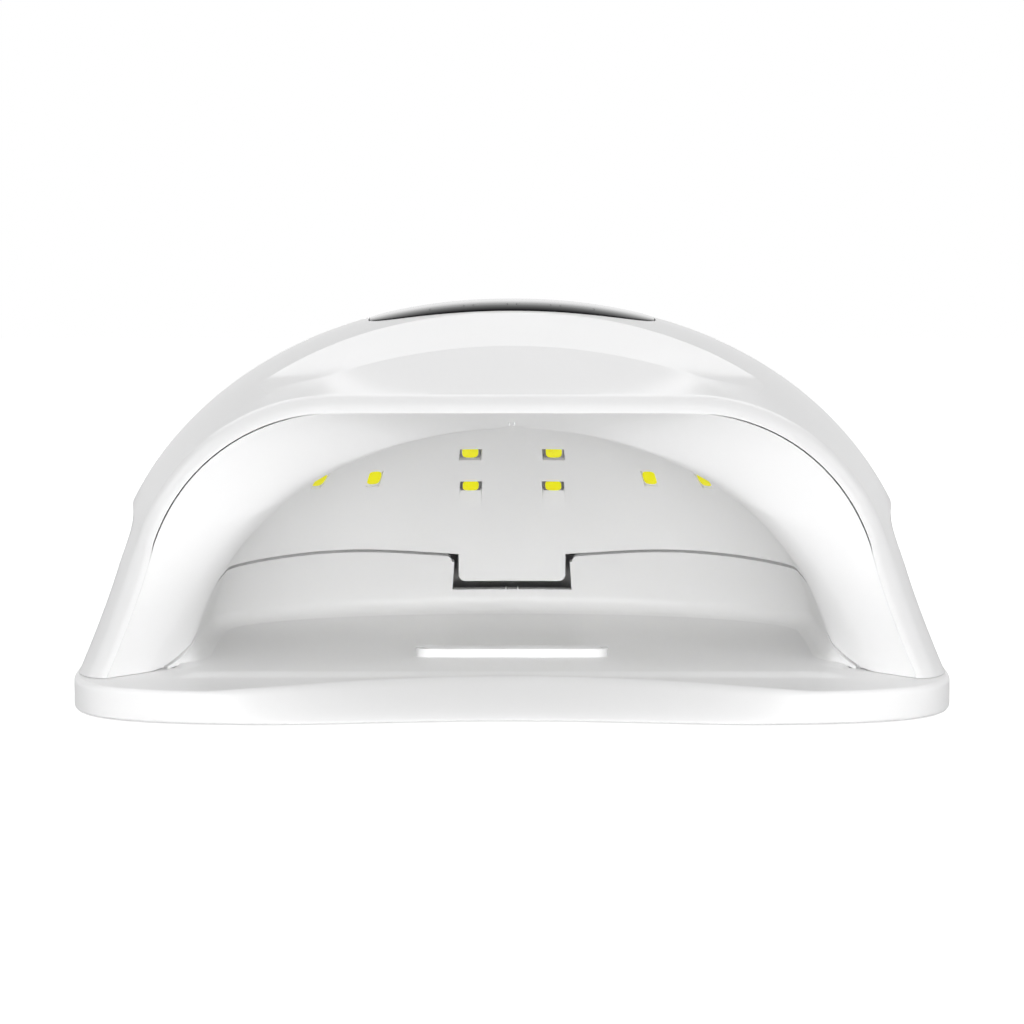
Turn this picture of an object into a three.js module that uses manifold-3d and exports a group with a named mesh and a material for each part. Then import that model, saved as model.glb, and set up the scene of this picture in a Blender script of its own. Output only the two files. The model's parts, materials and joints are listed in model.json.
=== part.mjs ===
// UV nail lamp: a domed housing with four timer keys, which lifts straight off its tray.
// Millimetres, +X to the right, +Y to the back, +Z up, origin at the middle of the base.

import * as THREE from 'three';
import { mergeVertices } from 'three/addons/utils/BufferGeometryUtils.js';
import Module from 'manifold-3d';

const wasm = await Module();
wasm.setup();

// Overall size, measured at the foot
const baseHalfWidth = 113.4;
const widestY = -20;
const frontReach = 84;
const rearReach = 122.6;
const domeTop = 103.05;
const frontCornerPower = 5.5;
const rearCornerPower = 2.3;

// Fits
const seatGap = 0.3;
const cutOverrun = 2;
const weldTolerance = 0.0001;
const fitGap = 0.35;

// Hand space inside the liner, with the room kept beside and above it
const sideRoom = 27.4;
const headRoom = 29.05;
const cavityHalfWidth = baseHalfWidth - sideRoom;
const cavityTop = domeTop - headRoom;
const cavityTurnY = 14;
const cavityRearReach = 48.6;
const mouthY = -58;
const mouthDrawIn = 1;
const mouthDrop = 3.1;
const mouthHalfWidth = cavityHalfWidth - mouthDrawIn;
const mouthTop = cavityTop - mouthDrop;
const taperEndY = -12;
const mouthFootSpread = 5;

// Tray
const rimHeight = 8.5;
const floorRise = 1;
const rimBottom = 0.4;
const rimCornerOut = 1.4;
const trayWall = 2.6;
const trayPocketTop = 5.4;
const rampTopRecess = 25;
const rampTopInset = 10;
const rampTopHalfWidth = cavityHalfWidth - rampTopInset;
const rampTopPower = 1.15;
const rampFootRecess = 6.8;
const rampFootInset = 21;
const rampFootHalfWidth = cavityHalfWidth - rampFootInset;
const rampFootPower = 2;
const crestRise = 0.7;
const plateauMargin = 0.6;
const plateauHalfWidth = cavityHalfWidth + plateauMargin;
const plateauSlope = 7;
const basinWall = 2.4;
const notchHalfWidth = 17.6;
const notchFloor = 16.3;
const tongueHalfWidth = 15.7;
const tongueBottom = 18.9;
const fingerBarLength = 51;
const fingerBarWidth = 7;
const fingerBarHeight = 2.5;
const fingerBarY = -39.5;
const coverThickness = 2;
const footRadius = 7;
const footInset = 25.4;
const footX = baseHalfWidth - footInset;
const frontFootY = -62;
const coverFrontY = -74;
const rearFootInset = 28;
const rearFootX = cavityHalfWidth - rearFootInset;
const rearFootY = 62;
const coverScrewInset = 24;
const coverScrewX = cavityHalfWidth - coverScrewInset;
const coverScrewFrontY = -54;
const coverScrewRearY = 40;
const screwRadius = 1.4;
const screwHeadRadius = 2.7;
const screwHeadHeight = 1.6;
const screwLength = 6;
const bossRadius = 4;

// Outer shell
const shellWall = 2.4;
const shellInset = 1;
const crownDrawIn = 0.5;
const crownHalfWidth = baseHalfWidth - crownDrawIn;
const domePower = 2.12;
const ridgePower = 2.2;
const gripShare = 0.433;
const skirtReach = 13.8;
const skirtPower = 1.3;
const gripLedge = 11;
const gripFadeStart = 20;
const gripFadeEnd = 75;
const frontDrop = 2;
const frontDropReach = 45;
const frontNarrowing = 9.9;
const frontNarrowingPower = 1.56;

// Front arch of the shell and its rolled lip
const archY = -78;
const archDrop = 27.05;
const archTop = domeTop - archDrop;
const archSideRoom = 68.3;
const archHalfFlat = baseHalfWidth - archSideRoom;
const shoulderRadius = 48;
const sideLeanDegrees = 17.8;
const lipInset = 6.4;
const rollOut = 5.2;
const rollDepth = 6.6;
const rollStartDegrees = 30;

// Crescent facet above the arch
const facetEndShare = 0.515;
const facetTopY = -48;
const facetTopBow = 7;
const facetFrontY = -62;
const facetFrontBow = 3;
const facetDrop = 10.65;
const facetFrontZ = domeTop - facetDrop;
const facetFrontRadius = 147;
const facetWidthShare = 0.773;
const facetFadeShare = 0.12;
const facetBandShare = 0.06;
const browSteerShare = 0.45;
const browSag = 2.2;

// Reflector liner
const linerWall = 2;
const linerStep = 3;
const linerSkirtWall = 2;
const linerShoulder = 3;
const linerFlange = 2;
const seamGap = 0.7;
const seamRearZ = 26;
const seamSideRise = 2.8;
const seamWave = 100;
const flareGap = 0.6;
const flareEdge = 0.3;
const flareRoundShare = 0.3;

// Light sources
const ledLength = 5.7;
const ledWidth = 3.4;
const ledHeight = 0.9;
const ledWindowMargin = 0.4;
const rearLedX = 12.1;
const lowerLedShare = 0.45;
const ledRowPitch = 9.7;
const sideLedRise = 3.4;
const lowerLedZ = seamRearZ + lowerLedShare * (cavityTop - seamRearZ);
const upperLedZ = lowerLedZ + ledRowPitch;
const sideLedZ = lowerLedZ + sideLedRise;
const innerLedShare = 0.645;
const outerLedShare = 0.886;
const frontLedShare = 0.995;
const ceilingLedX = 15.5;
const ceilingLedFrontY = -38;
const ceilingLedRearY = -10;
const boardThickness = 1.6;
const ledBoardMargin = 5;

// Top panel with its keys and display
const panelHalfWidth = 40;
const panelHalfDepth = 28;
const panelY = -17;
const panelPower = 3;
const panelProud = 0.25;
const panelThickness = 1.6;
const panelLedge = 2;
const keyPitch = 11.5;
const keyY = -33;
const keyWidth = 9;
const keyDepth = 6.6;
const keyCorner = 1.6;
const keyProud = 0.25;
const keyGap = 0.35;
const keyFlange = 0.9;
const keyFlangeHeight = 0.8;
const keyFlangeGap = 0.5;
const keyStemRadius = 1.5;
const keyStemLength = 0.5;
const displayWidth = 24;
const displayDepth = 14;
const displayY = -8;
const boardHalfWidth = 27;
const boardFrontY = -40;
const boardRearY = 6;
const controlBoardDepth = 8.4;
const tactSize = 6;
const tactHeight = 1.1;
const plungerRadius = 1.4;
const plungerHeight = 0.5;

// Electronics inside the housing
const driverHalfWidth = 28;
const driverFrontY = 10;
const driverRearY = 40;
const driverRise = 4.5;
const driverBottom = cavityTop + driverRise;
const pillarInset = 3.6;
const pillarRadius = 2.2;
const capacitorRadius = 4;
const capacitorLength = 12;
const capacitorShare = 0.4;
const jackRadius = 5.5;
const jackBoreRadius = 3.2;
const jackBoreDepth = 9;
const jackPinRadius = 1;
const jackLength = 14;
const jackFlangeRadius = 7;
const jackFlangeThickness = 1.4;
const jackZ = 24;
const sensorX = 2.2;
const sensorRadius = 1;
const sensorLength = 3.2;
const sensorBoardWidth = 12;
const sensorBoardDepth = 6;
const sensorRecess = 0.8;
const leadRadius = 0.8;
const leadRiseShares = [0.3, 0.8];
const leadReachShare = 0.7;
const magnetRadius = 4;
const magnetThickness = 1.6;
const magnetInset = 13.9;
const magnetX = baseHalfWidth - magnetInset;
const magnetY = -46;
const housingScrewInset = 16.4;
const housingScrewX = baseHalfWidth - housingScrewInset;
const housingScrewY = -22;
const rearScrewInset = 31;
const rearScrewX = cavityHalfWidth - rearScrewInset;
const rearScrewY = 70;

// Facets of the round stretches
const rearOutlineSteps = 30;
const roundSides = 20;
const smallSides = 12;
const beltSteps = 28;
const beltRows = 12;
const ceilingSteps = 8;
const cornerSteps = 3;
const leadSides = 6;
const leadStepsPerPoint = 3;

const V = (x, y, z) => new THREE.Vector3(x, y, z);
const clamp01 = (t) => Math.min(1, Math.max(0, t));
const smooth = (low, high, value) => {
  const t = clamp01((value - low) / (high - low));
  return t * t * (3 - 2 * t);
};
const radians = (degrees) => (degrees * Math.PI) / 180;
const mix = (a, b, t) => a + (b - a) * t;

const shellFoot = rimHeight + seatGap;
const domeHeight = domeTop - shellFoot;
const sideLean = radians(sideLeanDegrees);
const rearEdgeY = widestY + rearReach;
const frontEdgeY = widestY - frontReach;
const shellRearY = rearEdgeY - shellInset;
const floorZ = rimHeight + floorRise;
const skirtHeight = gripShare * domeHeight + seatGap;

// Solids: welding, thick sheets, lofts and boolean cuts

function weld(points, faces) {
  const raw = new THREE.BufferGeometry();
  raw.setAttribute('position', new THREE.Float32BufferAttribute(points.flatMap((p) => [p.x, p.y, p.z]), 3));
  raw.setIndex(faces.flat());
  const merged = mergeVertices(raw, weldTolerance);
  const index = merged.getIndex().array;
  const kept = [];
  for (let i = 0; i < index.length; i += 3) {
    const [a, b, c] = [index[i], index[i + 1], index[i + 2]];
    if (a !== b && b !== c && c !== a) kept.push(a, b, c);
  }
  const position = merged.getAttribute('position');
  let volume = 0;
  const corner = [V(0, 0, 0), V(0, 0, 0), V(0, 0, 0)];
  for (let i = 0; i < kept.length; i += 3) {
    corner.forEach((p, k) => p.fromBufferAttribute(position, kept[i + k]));
    volume += corner[0].dot(corner[1].clone().cross(corner[2]));
  }
  if (volume < 0) kept.reverse();
  merged.setIndex(kept);
  return merged;
}

// A closed body between two grids of points with the same rows and columns
function sheetSolid(outer, inner) {
  const rows = outer.length;
  const columns = outer[0].length;
  const points = [...outer.flat(), ...inner.flat()];
  const at = (side, row, column) => side * rows * columns + row * columns + column;
  const faces = [];
  const quad = (a, b, c, d) => faces.push([a, b, c], [a, c, d]);
  for (let r = 0; r + 1 < rows; r += 1) {
    for (let c = 0; c + 1 < columns; c += 1) {
      quad(at(0, r, c), at(0, r, c + 1), at(0, r + 1, c + 1), at(0, r + 1, c));
      quad(at(1, r, c), at(1, r + 1, c), at(1, r + 1, c + 1), at(1, r, c + 1));
    }
    quad(at(0, r, 0), at(0, r + 1, 0), at(1, r + 1, 0), at(1, r, 0));
    const last = columns - 1;
    quad(at(0, r, last), at(1, r, last), at(1, r + 1, last), at(0, r + 1, last));
  }
  for (let c = 0; c + 1 < columns; c += 1) {
    quad(at(0, 0, c), at(1, 0, c), at(1, 0, c + 1), at(0, 0, c + 1));
    const last = rows - 1;
    quad(at(0, last, c), at(0, last, c + 1), at(1, last, c + 1), at(1, last, c));
  }
  return weld(points, faces);
}

// A closed body through a stack of closed loops, with its two ends capped from their middles
function loftSolid(loops) {
  const count = loops[0].length;
  const points = loops.flat();
  const faces = [];
  for (let k = 0; k + 1 < loops.length; k += 1) {
    for (let i = 0; i < count; i += 1) {
      const next = (i + 1) % count;
      const [a, b] = [k * count + i, k * count + next];
      faces.push([a, b, b + count], [a, b + count, a + count]);
    }
  }
  const middle = (loop) => loop.reduce((sum, p) => sum.add(p), V(0, 0, 0)).divideScalar(count);
  const low = points.push(middle(loops[0])) - 1;
  const high = points.push(middle(loops[loops.length - 1])) - 1;
  const top = (loops.length - 1) * count;
  for (let i = 0; i < count; i += 1) {
    const next = (i + 1) % count;
    faces.push([low, next, i], [high, top + i, top + next]);
  }
  return weld(points, faces);
}

function solid(geometry) {
  const bare = geometry.clone();
  bare.deleteAttribute('normal');
  bare.deleteAttribute('uv');
  const merged = mergeVertices(bare, weldTolerance);
  return new wasm.Manifold(new wasm.Mesh({
    numProp: 3,
    vertProperties: new Float32Array(merged.getAttribute('position').array),
    triVerts: new Uint32Array(merged.getIndex().array),
  }));
}

function geometryOf(body) {
  const mesh = body.getMesh();
  const geometry = new THREE.BufferGeometry();
  geometry.setAttribute('position', new THREE.Float32BufferAttribute(mesh.vertProperties, 3));
  geometry.setIndex([...mesh.triVerts]);
  return geometry;
}

const loft = (loops) => solid(loftSolid(loops));
const sheet = (outer, inner) => solid(sheetSolid(outer, inner));

function block(low, high) {
  const size = high.clone().sub(low);
  const geometry = new THREE.BoxGeometry(size.x, size.y, size.z);
  return solid(geometry.translate((low.x + high.x) / 2, (low.y + high.y) / 2, (low.z + high.z) / 2));
}

// A round post, or the space of a hole, along Z
function post(x, y, low, high, radius, sides = smallSides) {
  return rod(V(x, y, low), V(x, y, high), radius, sides);
}

// A round bar from one point to another
function rod(from, to, radius, sides = roundSides) {
  const along = to.clone().sub(from);
  const geometry = new THREE.CylinderGeometry(radius, radius, along.length(), sides);
  geometry.applyQuaternion(new THREE.Quaternion().setFromUnitVectors(V(0, 1, 0), along.clone().normalize()));
  const middle = from.clone().add(to).divideScalar(2);
  return solid(geometry.translate(middle.x, middle.y, middle.z));
}

// Outline of the foot, seen from above

function halfWidthAt(y, inset = 0) {
  const front = y < widestY;
  const reach = (front ? frontReach : rearReach) - inset;
  const power = front ? frontCornerPower : rearCornerPower;
  const share = clamp01(Math.abs(y - widestY) / reach);
  return (baseHalfWidth - inset) * (1 - share ** power) ** (1 / power);
}

// Directions of the outline's points: even round the back, closer together round the front corners
const frontShares = [0.1, 0.19, 0.25, 0.3, 0.34, 0.38, 0.42, 0.46, 0.51, 0.57, 0.66, 0.77, 0.88];
const outlineTurns = [
  ...Array.from({ length: rearOutlineSteps + 1 }, (_, i) => (Math.PI * i) / rearOutlineSteps),
  ...frontShares.map((share) => Math.PI * (1 + share / 2)),
  Math.PI * 1.5,
  ...frontShares.map((share) => Math.PI * (2 - share / 2)).reverse(),
];

function footOutline(inset, z) {
  return outlineTurns.map((angle) => {
    const front = angle > Math.PI;
    const reach = (front ? frontReach : rearReach) - inset;
    const power = front ? frontCornerPower : rearCornerPower;
    const across = Math.abs(Math.cos(angle) / (baseHalfWidth - inset)) ** power;
    const along = Math.abs(Math.sin(angle) / reach) ** power;
    const radius = (across + along) ** (-1 / power);
    return V(radius * Math.cos(angle), widestY + radius * Math.sin(angle), z);
  });
}

// Outer skin of the shell. A place on it is given by its row, from the lip back to the rear edge,
// and by how far down the side it lies: 0 at the top, 1 at the grip edge, 2 at the foot.

const gripAngle = Math.acos(gripShare ** (domePower / 2));

function domeHalfWidth(y) {
  if (y < 0) return crownHalfWidth - frontNarrowing * (y / archY) ** frontNarrowingPower;
  return (crownHalfWidth * halfWidthAt(y, shellInset)) / halfWidthAt(0, shellInset);
}

function domeRise(y) {
  if (y < 0) return domeHeight - frontDrop * (-y / frontDropReach) ** 3;
  const share = clamp01(y / shellRearY);
  return domeHeight * (1 - share ** ridgePower) ** (1 / ridgePower);
}

function domePoint(down, y) {
  const angle = gripAngle * down;
  const x = domeHalfWidth(y) * Math.sin(angle) ** (2 / domePower);
  return V(x, y, shellFoot + domeRise(y) * Math.cos(angle) ** (2 / domePower));
}

function domeZ(x, y) {
  const share = clamp01(Math.abs(x) / domeHalfWidth(y));
  return shellFoot + domeRise(y) * (1 - share ** domePower) ** (1 / domePower);
}

function skirtX(z, y) {
  const up = clamp01((z - rimHeight) / skirtHeight);
  const reach = skirtReach * (1 - smooth(gripFadeStart, gripFadeEnd, y));
  return halfWidthAt(y, shellInset) - reach * (1 - (1 - up) ** skirtPower);
}

// Below the grip edge the side draws in to the skirt, then flares to the foot
function skirtPoint(down, edge, inset = 0) {
  const z = mix(edge.z, shellFoot, down - 1);
  const step = edge.x - (skirtX(edge.z, edge.y) - inset);
  const x = skirtX(z, edge.y) - inset + step * (1 - clamp01((edge.z - z) / gripLedge)) ** 2;
  return V(Math.max(0, x), edge.y, z);
}

// The arch: flat on top, round at the shoulders, leaning at the sides; out is the distance from the seam
function archPoint(down, out, y) {
  const sweep = Math.PI / 2 - sideLean;
  const arc = shoulderRadius * sweep;
  const reach = Math.min(down, 1) * (archHalfFlat + arc);
  const turn = Math.max(0, reach - archHalfFlat) / shoulderRadius;
  const radius = shoulderRadius + out;
  const x = Math.min(reach, archHalfFlat) + radius * Math.sin(turn);
  const edge = V(x, y, archTop - shoulderRadius + radius * Math.cos(turn));
  return down <= 1 ? edge : skirtPoint(down, edge, lipInset - out);
}

function rollPoint(down, turnDegrees) {
  const turn = radians(turnDegrees);
  return archPoint(down, rollOut * Math.cos(turn), archY + rollDepth * (1 - Math.sin(turn)));
}

function facetTop(down) {
  const along = down / facetEndShare;
  const y = along <= 1
    ? facetTopY - facetTopBow * along ** 2
    : mix(facetTopY - facetTopBow, facetTopY, smooth(facetEndShare, 1, down));
  return domePoint(down, y);
}

// Lower edge of the facet; past the end of the crescent it runs out into the smooth shoulder
function browCurve(down) {
  const start = rollPoint(down, rollStartDegrees);
  const end = facetTop(down);
  const tangent = end.clone().sub(domePoint(down, end.y + shellWall)).normalize();
  const steer = end.clone().addScaledVector(tangent, browSteerShare * end.distanceTo(start));
  const middle = (a, b) => a.clone().add(b).divideScalar(2);
  const round = [middle(start, steer), middle(middle(start, steer), middle(steer, end)), middle(steer, end)];
  const along = Math.min(1, down / facetEndShare);
  const x = facetWidthShare * end.x;
  const edge = V(x, facetFrontY - facetFrontBow * along ** 2, facetFrontZ - x ** 2 / (2 * facetFrontRadius));
  const sag = V(0, browSag * Math.SQRT1_2, -browSag * Math.SQRT1_2);
  const crisp = [middle(start, edge).add(sag), edge, middle(edge, end)];
  const blend = smooth(facetEndShare, facetEndShare + facetFadeShare, down);
  const [low, front, high] = crisp.map((p, k) => p.lerp(round[k], blend));
  return { start, low, front, high, end };
}

const bezier = (a, b, c, t) => a.clone().multiplyScalar((1 - t) ** 2)
  .addScaledVector(b, 2 * t * (1 - t)).addScaledVector(c, t * t);

const rollTurnDegrees = [90, 75, 55];
const browShares = [0, 0.35, 0.7];
const facetShares = [0, 0.5];
const frontRowShares = [0.85, 0.55, 0.25];
const rearTurnDegrees = [0, 9, 18, 27, 36, 45, 54, 62, 70, 77, 84, 90];

// Every row of the skin as a function of how far down the side it is read
const skinRows = [
  ...rollTurnDegrees.map((turn) => (down) => rollPoint(down, turn)),
  ...browShares.map((t) => (down) => {
    const curve = browCurve(down);
    return bezier(curve.start, curve.low, curve.front, t);
  }),
  ...facetShares.map((t) => (down) => {
    const curve = browCurve(down);
    return bezier(curve.front, curve.high, curve.end, t);
  }),
  ...frontRowShares.map((share) => (down) => domePoint(down, facetTopY * share)),
  ...rearTurnDegrees.map((turn) => (down) => domePoint(down, shellRearY * Math.sin(radians(turn)))),
];

const crownShares = [0, 0.13, 0.26, 0.39, facetEndShare, facetEndShare + facetBandShare, 0.67, 0.78, 0.89, 1];
const skirtShares = [1.06, 1.14, 1.24, 1.4, 1.6, 1.8, 2];

function skinRow(row, rowIndex) {
  const edge = row(1);
  const lip = rowIndex < rollTurnDegrees.length;
  const right = crownShares.map((down) => row(down));
  skirtShares.forEach((down) => right.push(lip ? row(down) : skirtPoint(down, edge)));
  const left = right.slice(1).map((p) => V(-p.x, p.y, p.z)).reverse();
  return [...left, ...right];
}

// The same grid moved inwards along its own normals, its foot kept level
function insetGrid(grid, depth) {
  const rows = grid.length;
  const columns = grid[0].length;
  const pick = (r, c) => grid[Math.min(rows - 1, Math.max(0, r))][Math.min(columns - 1, Math.max(0, c))];
  return grid.map((line, r) => line.map((p, c) => {
    const back = pick(r + 1, c).clone().sub(pick(r - 1, c));
    const down = pick(r, c + 1).clone().sub(pick(r, c - 1));
    const normal = back.cross(down);
    if (normal.length() < weldTolerance) return p.clone().add(V(0, -depth, 0));
    if (r === 0) normal.set(0, 1, 0);
    const inner = p.clone().addScaledVector(normal.normalize(), depth);
    if (c === 0 || c === columns - 1) inner.z = shellFoot;
    return inner;
  }));
}

// Panel outline, as a disc of points on the dome moved along Z by a depth
function panelGrid(grow, depth, rings, sides) {
  const grid = [];
  for (let k = 0; k <= rings; k += 1) {
    const line = [];
    for (let i = 0; i <= sides; i += 1) {
      const angle = (2 * Math.PI * i) / sides;
      const across = Math.abs(Math.cos(angle) / (panelHalfWidth + grow)) ** panelPower;
      const along = Math.abs(Math.sin(angle) / (panelHalfDepth + grow)) ** panelPower;
      const radius = (k / rings) * (across + along) ** (-1 / panelPower);
      const x = radius * Math.cos(angle);
      const y = panelY + radius * Math.sin(angle);
      line.push(V(x, y, domeZ(x, y) + depth));
    }
    grid.push(line);
  }
  return grid;
}

// A closed plate between two such discs
function panelPlate(grow, low, high, rings = 3, sides = 40) {
  const top = panelGrid(grow, high, rings, sides);
  const bottom = panelGrid(grow, low, rings, sides);
  const points = [...top.flat(), ...bottom.flat()];
  const width = sides + 1;
  const at = (side, k, i) => side * (rings + 1) * width + k * width + i;
  const faces = [];
  const quad = (a, b, c, d) => faces.push([a, b, c], [a, c, d]);
  for (let i = 0; i < sides; i += 1) {
    for (let k = 0; k < rings; k += 1) {
      quad(at(0, k, i), at(0, k + 1, i), at(0, k + 1, i + 1), at(0, k, i + 1));
      quad(at(1, k, i), at(1, k, i + 1), at(1, k + 1, i + 1), at(1, k + 1, i));
    }
    quad(at(0, rings, i), at(1, rings, i), at(1, rings, i + 1), at(0, rings, i + 1));
  }
  return solid(weld(points, faces));
}

// The hand space: half an ellipse in section, closed behind by a quarter of an ellipsoid

const taperShare = (y) => clamp01((y - mouthY) / (taperEndY - mouthY));

function cavityHeightAt(y) {
  return mix(mouthTop, cavityTop, taperShare(y));
}

function cavityHalfWidthAt(y) {
  return mix(mouthHalfWidth, cavityHalfWidth, taperShare(y));
}

function cavityPoint(angle, y, offset) {
  const back = clamp01((y - cavityTurnY) / (cavityRearReach + offset));
  const close = Math.sqrt(1 - back ** 2);
  const halfWidth = cavityHalfWidthAt(y) + offset;
  const height = cavityHeightAt(y) + offset;
  return V(halfWidth * Math.sin(angle) * close, y, height * Math.cos(angle) * close);
}

// A place on the hand space's surface over a given X and Z, and the same over a given X and Y
function cavityAt(x, z, offset = 0) {
  const across = x / (cavityHalfWidth + offset);
  const up = z / (cavityTop + offset);
  const back = Math.sqrt(Math.max(0, 1 - across ** 2 - up ** 2));
  return V(x, cavityTurnY + (cavityRearReach + offset) * back, z);
}

function ceilingAt(x, y, offset = 0) {
  return cavityPoint(Math.asin(x / (cavityHalfWidthAt(y) + offset)), y, offset);
}

function outwardAt(p) {
  const back = Math.max(0, p.y - cavityTurnY);
  return V(p.x / cavityHalfWidth ** 2, back / cavityRearReach ** 2, p.z / cavityTop ** 2).normalize();
}

const vaultFronts = [mouthY, (mouthY + taperEndY) / 2, taperEndY];
const vaultTurnDegrees = [0, 16, 31, 45, 57, 68, 77, 84, 90];
const vaultColumns = 30;

function vaultRows(offset) {
  const reach = cavityRearReach + offset;
  const turns = vaultTurnDegrees.map((turn) => cavityTurnY + reach * Math.sin(radians(turn)));
  return [...vaultFronts, ...turns].map((y) => {
    const line = [];
    for (let i = 0; i <= vaultColumns; i += 1) {
      line.push(cavityPoint(Math.PI * (i / vaultColumns - 0.5), y, offset));
    }
    return line;
  });
}

const vaultBetween = (low, high) => sheet(vaultRows(high), vaultRows(low));
const vaultFilled = (offset) => loft(vaultRows(offset));

// Height of the joint between the tray's wall and the liner
function seamZ(x, y) {
  const hump = seamSideRise * Math.sin(Math.PI * clamp01(Math.abs(x) / seamWave)) ** 2;
  const front = clamp01(y / mouthY);
  return mix(seamRearZ + hump, floorZ, front ** ridgePower);
}

function belowSeam(shift) {
  const line = (y, z) => {
    const points = [];
    for (let i = 0; i <= beltSteps; i += 1) {
      const x = mix(-baseHalfWidth, baseHalfWidth, i / beltSteps);
      points.push(V(x, y, z === null ? seamZ(x, y) + shift : z));
    }
    return points;
  };
  const stations = [];
  for (let i = 0; i <= beltRows; i += 1) stations.push(mix(mouthY, cavityTurnY, i / beltRows));
  stations.push(cavityTurnY + cavityRearReach + 2 * bossRadius);
  return sheet(stations.map((y) => line(y, null)), stations.map((y) => line(y, -cutOverrun)));
}

// Funnel from the seam under the shell's lip to the mouth of the hand space

function mouthPoint(down) {
  const angle = mix(0, Math.PI / 2, Math.min(down, 2) / 2);
  const spread = mouthFootSpread * clamp01(down - 1) ** 3;
  const x = mouthHalfWidth * Math.sin(angle) + spread;
  return V(x, mouthY, Math.max(shellFoot, mouthTop * Math.cos(angle)));
}

const flareShares = [0, 0.11, 0.16, 0.4, 0.7, 0.9, 1.06];

function flareLine(share, offset) {
  const downs = [...crownShares, ...skirtShares];
  const right = downs.map((down) => {
    const outer = archPoint(down, -flareGap, archY);
    const inner = mouthPoint(down);
    const round = Math.sin((Math.PI / 2) * Math.min(1, share));
    const p = outer.clone().lerp(inner, share);
    p.x = mix(outer.x, inner.x, mix(share, round, flareRoundShare));
    if (share > 1) p.x = inner.x;
    p.y = mix(archY + flareGap, mouthY, share);
    const away = p.clone().sub(V(0, p.y, archTop - shoulderRadius)).normalize();
    p.addScaledVector(V(away.x, 0, Math.max(0, away.z)), offset);
    p.z = Math.max(shellFoot, p.z);
    return p;
  });
  const left = right.slice(1).map((p) => V(-p.x, p.y, p.z)).reverse();
  return [...left, ...right];
}

function flareBand() {
  const thickness = [flareEdge, flareEdge, linerWall, linerWall, linerWall, linerWall, linerWall];
  const front = flareShares.map((share) => flareLine(share, 0));
  const back = flareShares.map((share, k) => flareLine(share, thickness[k]));
  return sheet(back, front);
}

// A turned frame for a piece that lies on the hand space's surface: X level, Y up the wall, Z outwards
function wallFrame(p) {
  const outward = outwardAt(p);
  const level = V(0, 0, 1).cross(outward);
  if (level.length() < weldTolerance) level.set(1, 0, 0);
  level.normalize();
  const up = outward.clone().cross(level);
  return new THREE.Matrix4().makeBasis(level, up, outward).setPosition(p);
}

function wallBlock(p, length, width, low, high) {
  const geometry = new THREE.BoxGeometry(length, width, high - low).translate(0, 0, (low + high) / 2);
  return solid(geometry.applyMatrix4(wallFrame(p)));
}

const boardRowShares = [0, 0.25, 0.5, 0.75, 1];

// A board bent to the wall, over a range of directions and heights
function wallBoard(fromDegrees, toDegrees, low, high, side, steps = 10) {
  const grid = (offset) => boardRowShares.map((t) => {
    const z = mix(low, high, t);
    const line = [];
    for (let i = 0; i <= steps; i += 1) {
      const turn = radians(mix(fromDegrees, toDegrees, i / steps));
      const level = Math.sqrt(1 - (z / cavityTop) ** 2);
      const x = side * cavityHalfWidth * level * Math.sin(turn);
      const p = V(x, cavityTurnY + cavityRearReach * level * Math.cos(turn), z);
      line.push(p.addScaledVector(outwardAt(p), offset));
    }
    return line;
  });
  const from = linerWall + seatGap;
  return sheet(grid(from + boardThickness), grid(from));
}

// Half width of the hand space at a height, and the direction in which a place of its back wall lies
const levelHalfWidth = (z) => cavityHalfWidth * Math.sqrt(1 - (z / cavityTop) ** 2);
const directionOf = (x, z) => (Math.asin(x / levelHalfWidth(z)) * 180) / Math.PI;

// Light sources: the rear and ceiling ones lie level, the side ones stand up the wall
const sideLedX = (share) => share * levelHalfWidth(sideLedZ);
const ledPlaces = [];
for (const [name, side] of [['left', -1], ['right', 1]]) {
  const place = (row, p, upright) => ledPlaces.push({
    name: `led_${row}_${name}`,
    place: p,
    length: upright ? ledWidth : ledLength,
    width: upright ? ledLength : ledWidth,
  });
  place('rear_upper', cavityAt(side * rearLedX, upperLedZ), false);
  place('rear_lower', cavityAt(side * rearLedX, lowerLedZ), false);
  place('side_inner', cavityAt(side * sideLedX(innerLedShare), sideLedZ), true);
  place('side_outer', cavityAt(side * sideLedX(outerLedShare), sideLedZ), true);
  place('side_front', cavityAt(side * sideLedX(frontLedShare), sideLedZ), true);
  place('ceiling_front', ceilingAt(side * ceilingLedX, ceilingLedFrontY), false);
  place('ceiling_rear', ceilingAt(side * ceilingLedX, ceilingLedRearY), false);
}

function ledWindow(led) {
  const margin = 2 * ledWindowMargin;
  const back = linerWall + cutOverrun / 2;
  return wallBlock(led.place, led.length + margin, led.width + margin, -cutOverrun, back);
}

// Materials
const whiteGloss = { color: 0xf2f2f2, roughness: 0.22, metalness: 0 };
const whiteSatin = { color: 0xe9e9e8, roughness: 0.4, metalness: 0 };
const blackGlass = { color: 0x0b0b0d, roughness: 0.08, metalness: 0 };
const blackPlastic = { color: 0x18181a, roughness: 0.45, metalness: 0 };
const boardGreen = { color: 0x1f5a36, roughness: 0.5, metalness: 0 };
const boardWhite = { color: 0xe4e4e0, roughness: 0.5, metalness: 0 };
const phosphor = { color: 0xe6dc14, roughness: 0.5, metalness: 0 };
const steel = { color: 0xb8b8bc, roughness: 0.3, metalness: 1 };
const rubber = { color: 0x2a2a2c, roughness: 0.8, metalness: 0 };
const wireRed = { color: 0xa82222, roughness: 0.5, metalness: 0 };

const group = new THREE.Group();

function add(name, body, look) {
  const mesh = new THREE.Mesh(geometryOf(body), new THREE.MeshStandardMaterial(look));
  mesh.name = name;
  group.add(mesh);
}

const sides = [['left', -1], ['right', 1]];

// Places shared by pieces that are fixed to each other

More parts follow.
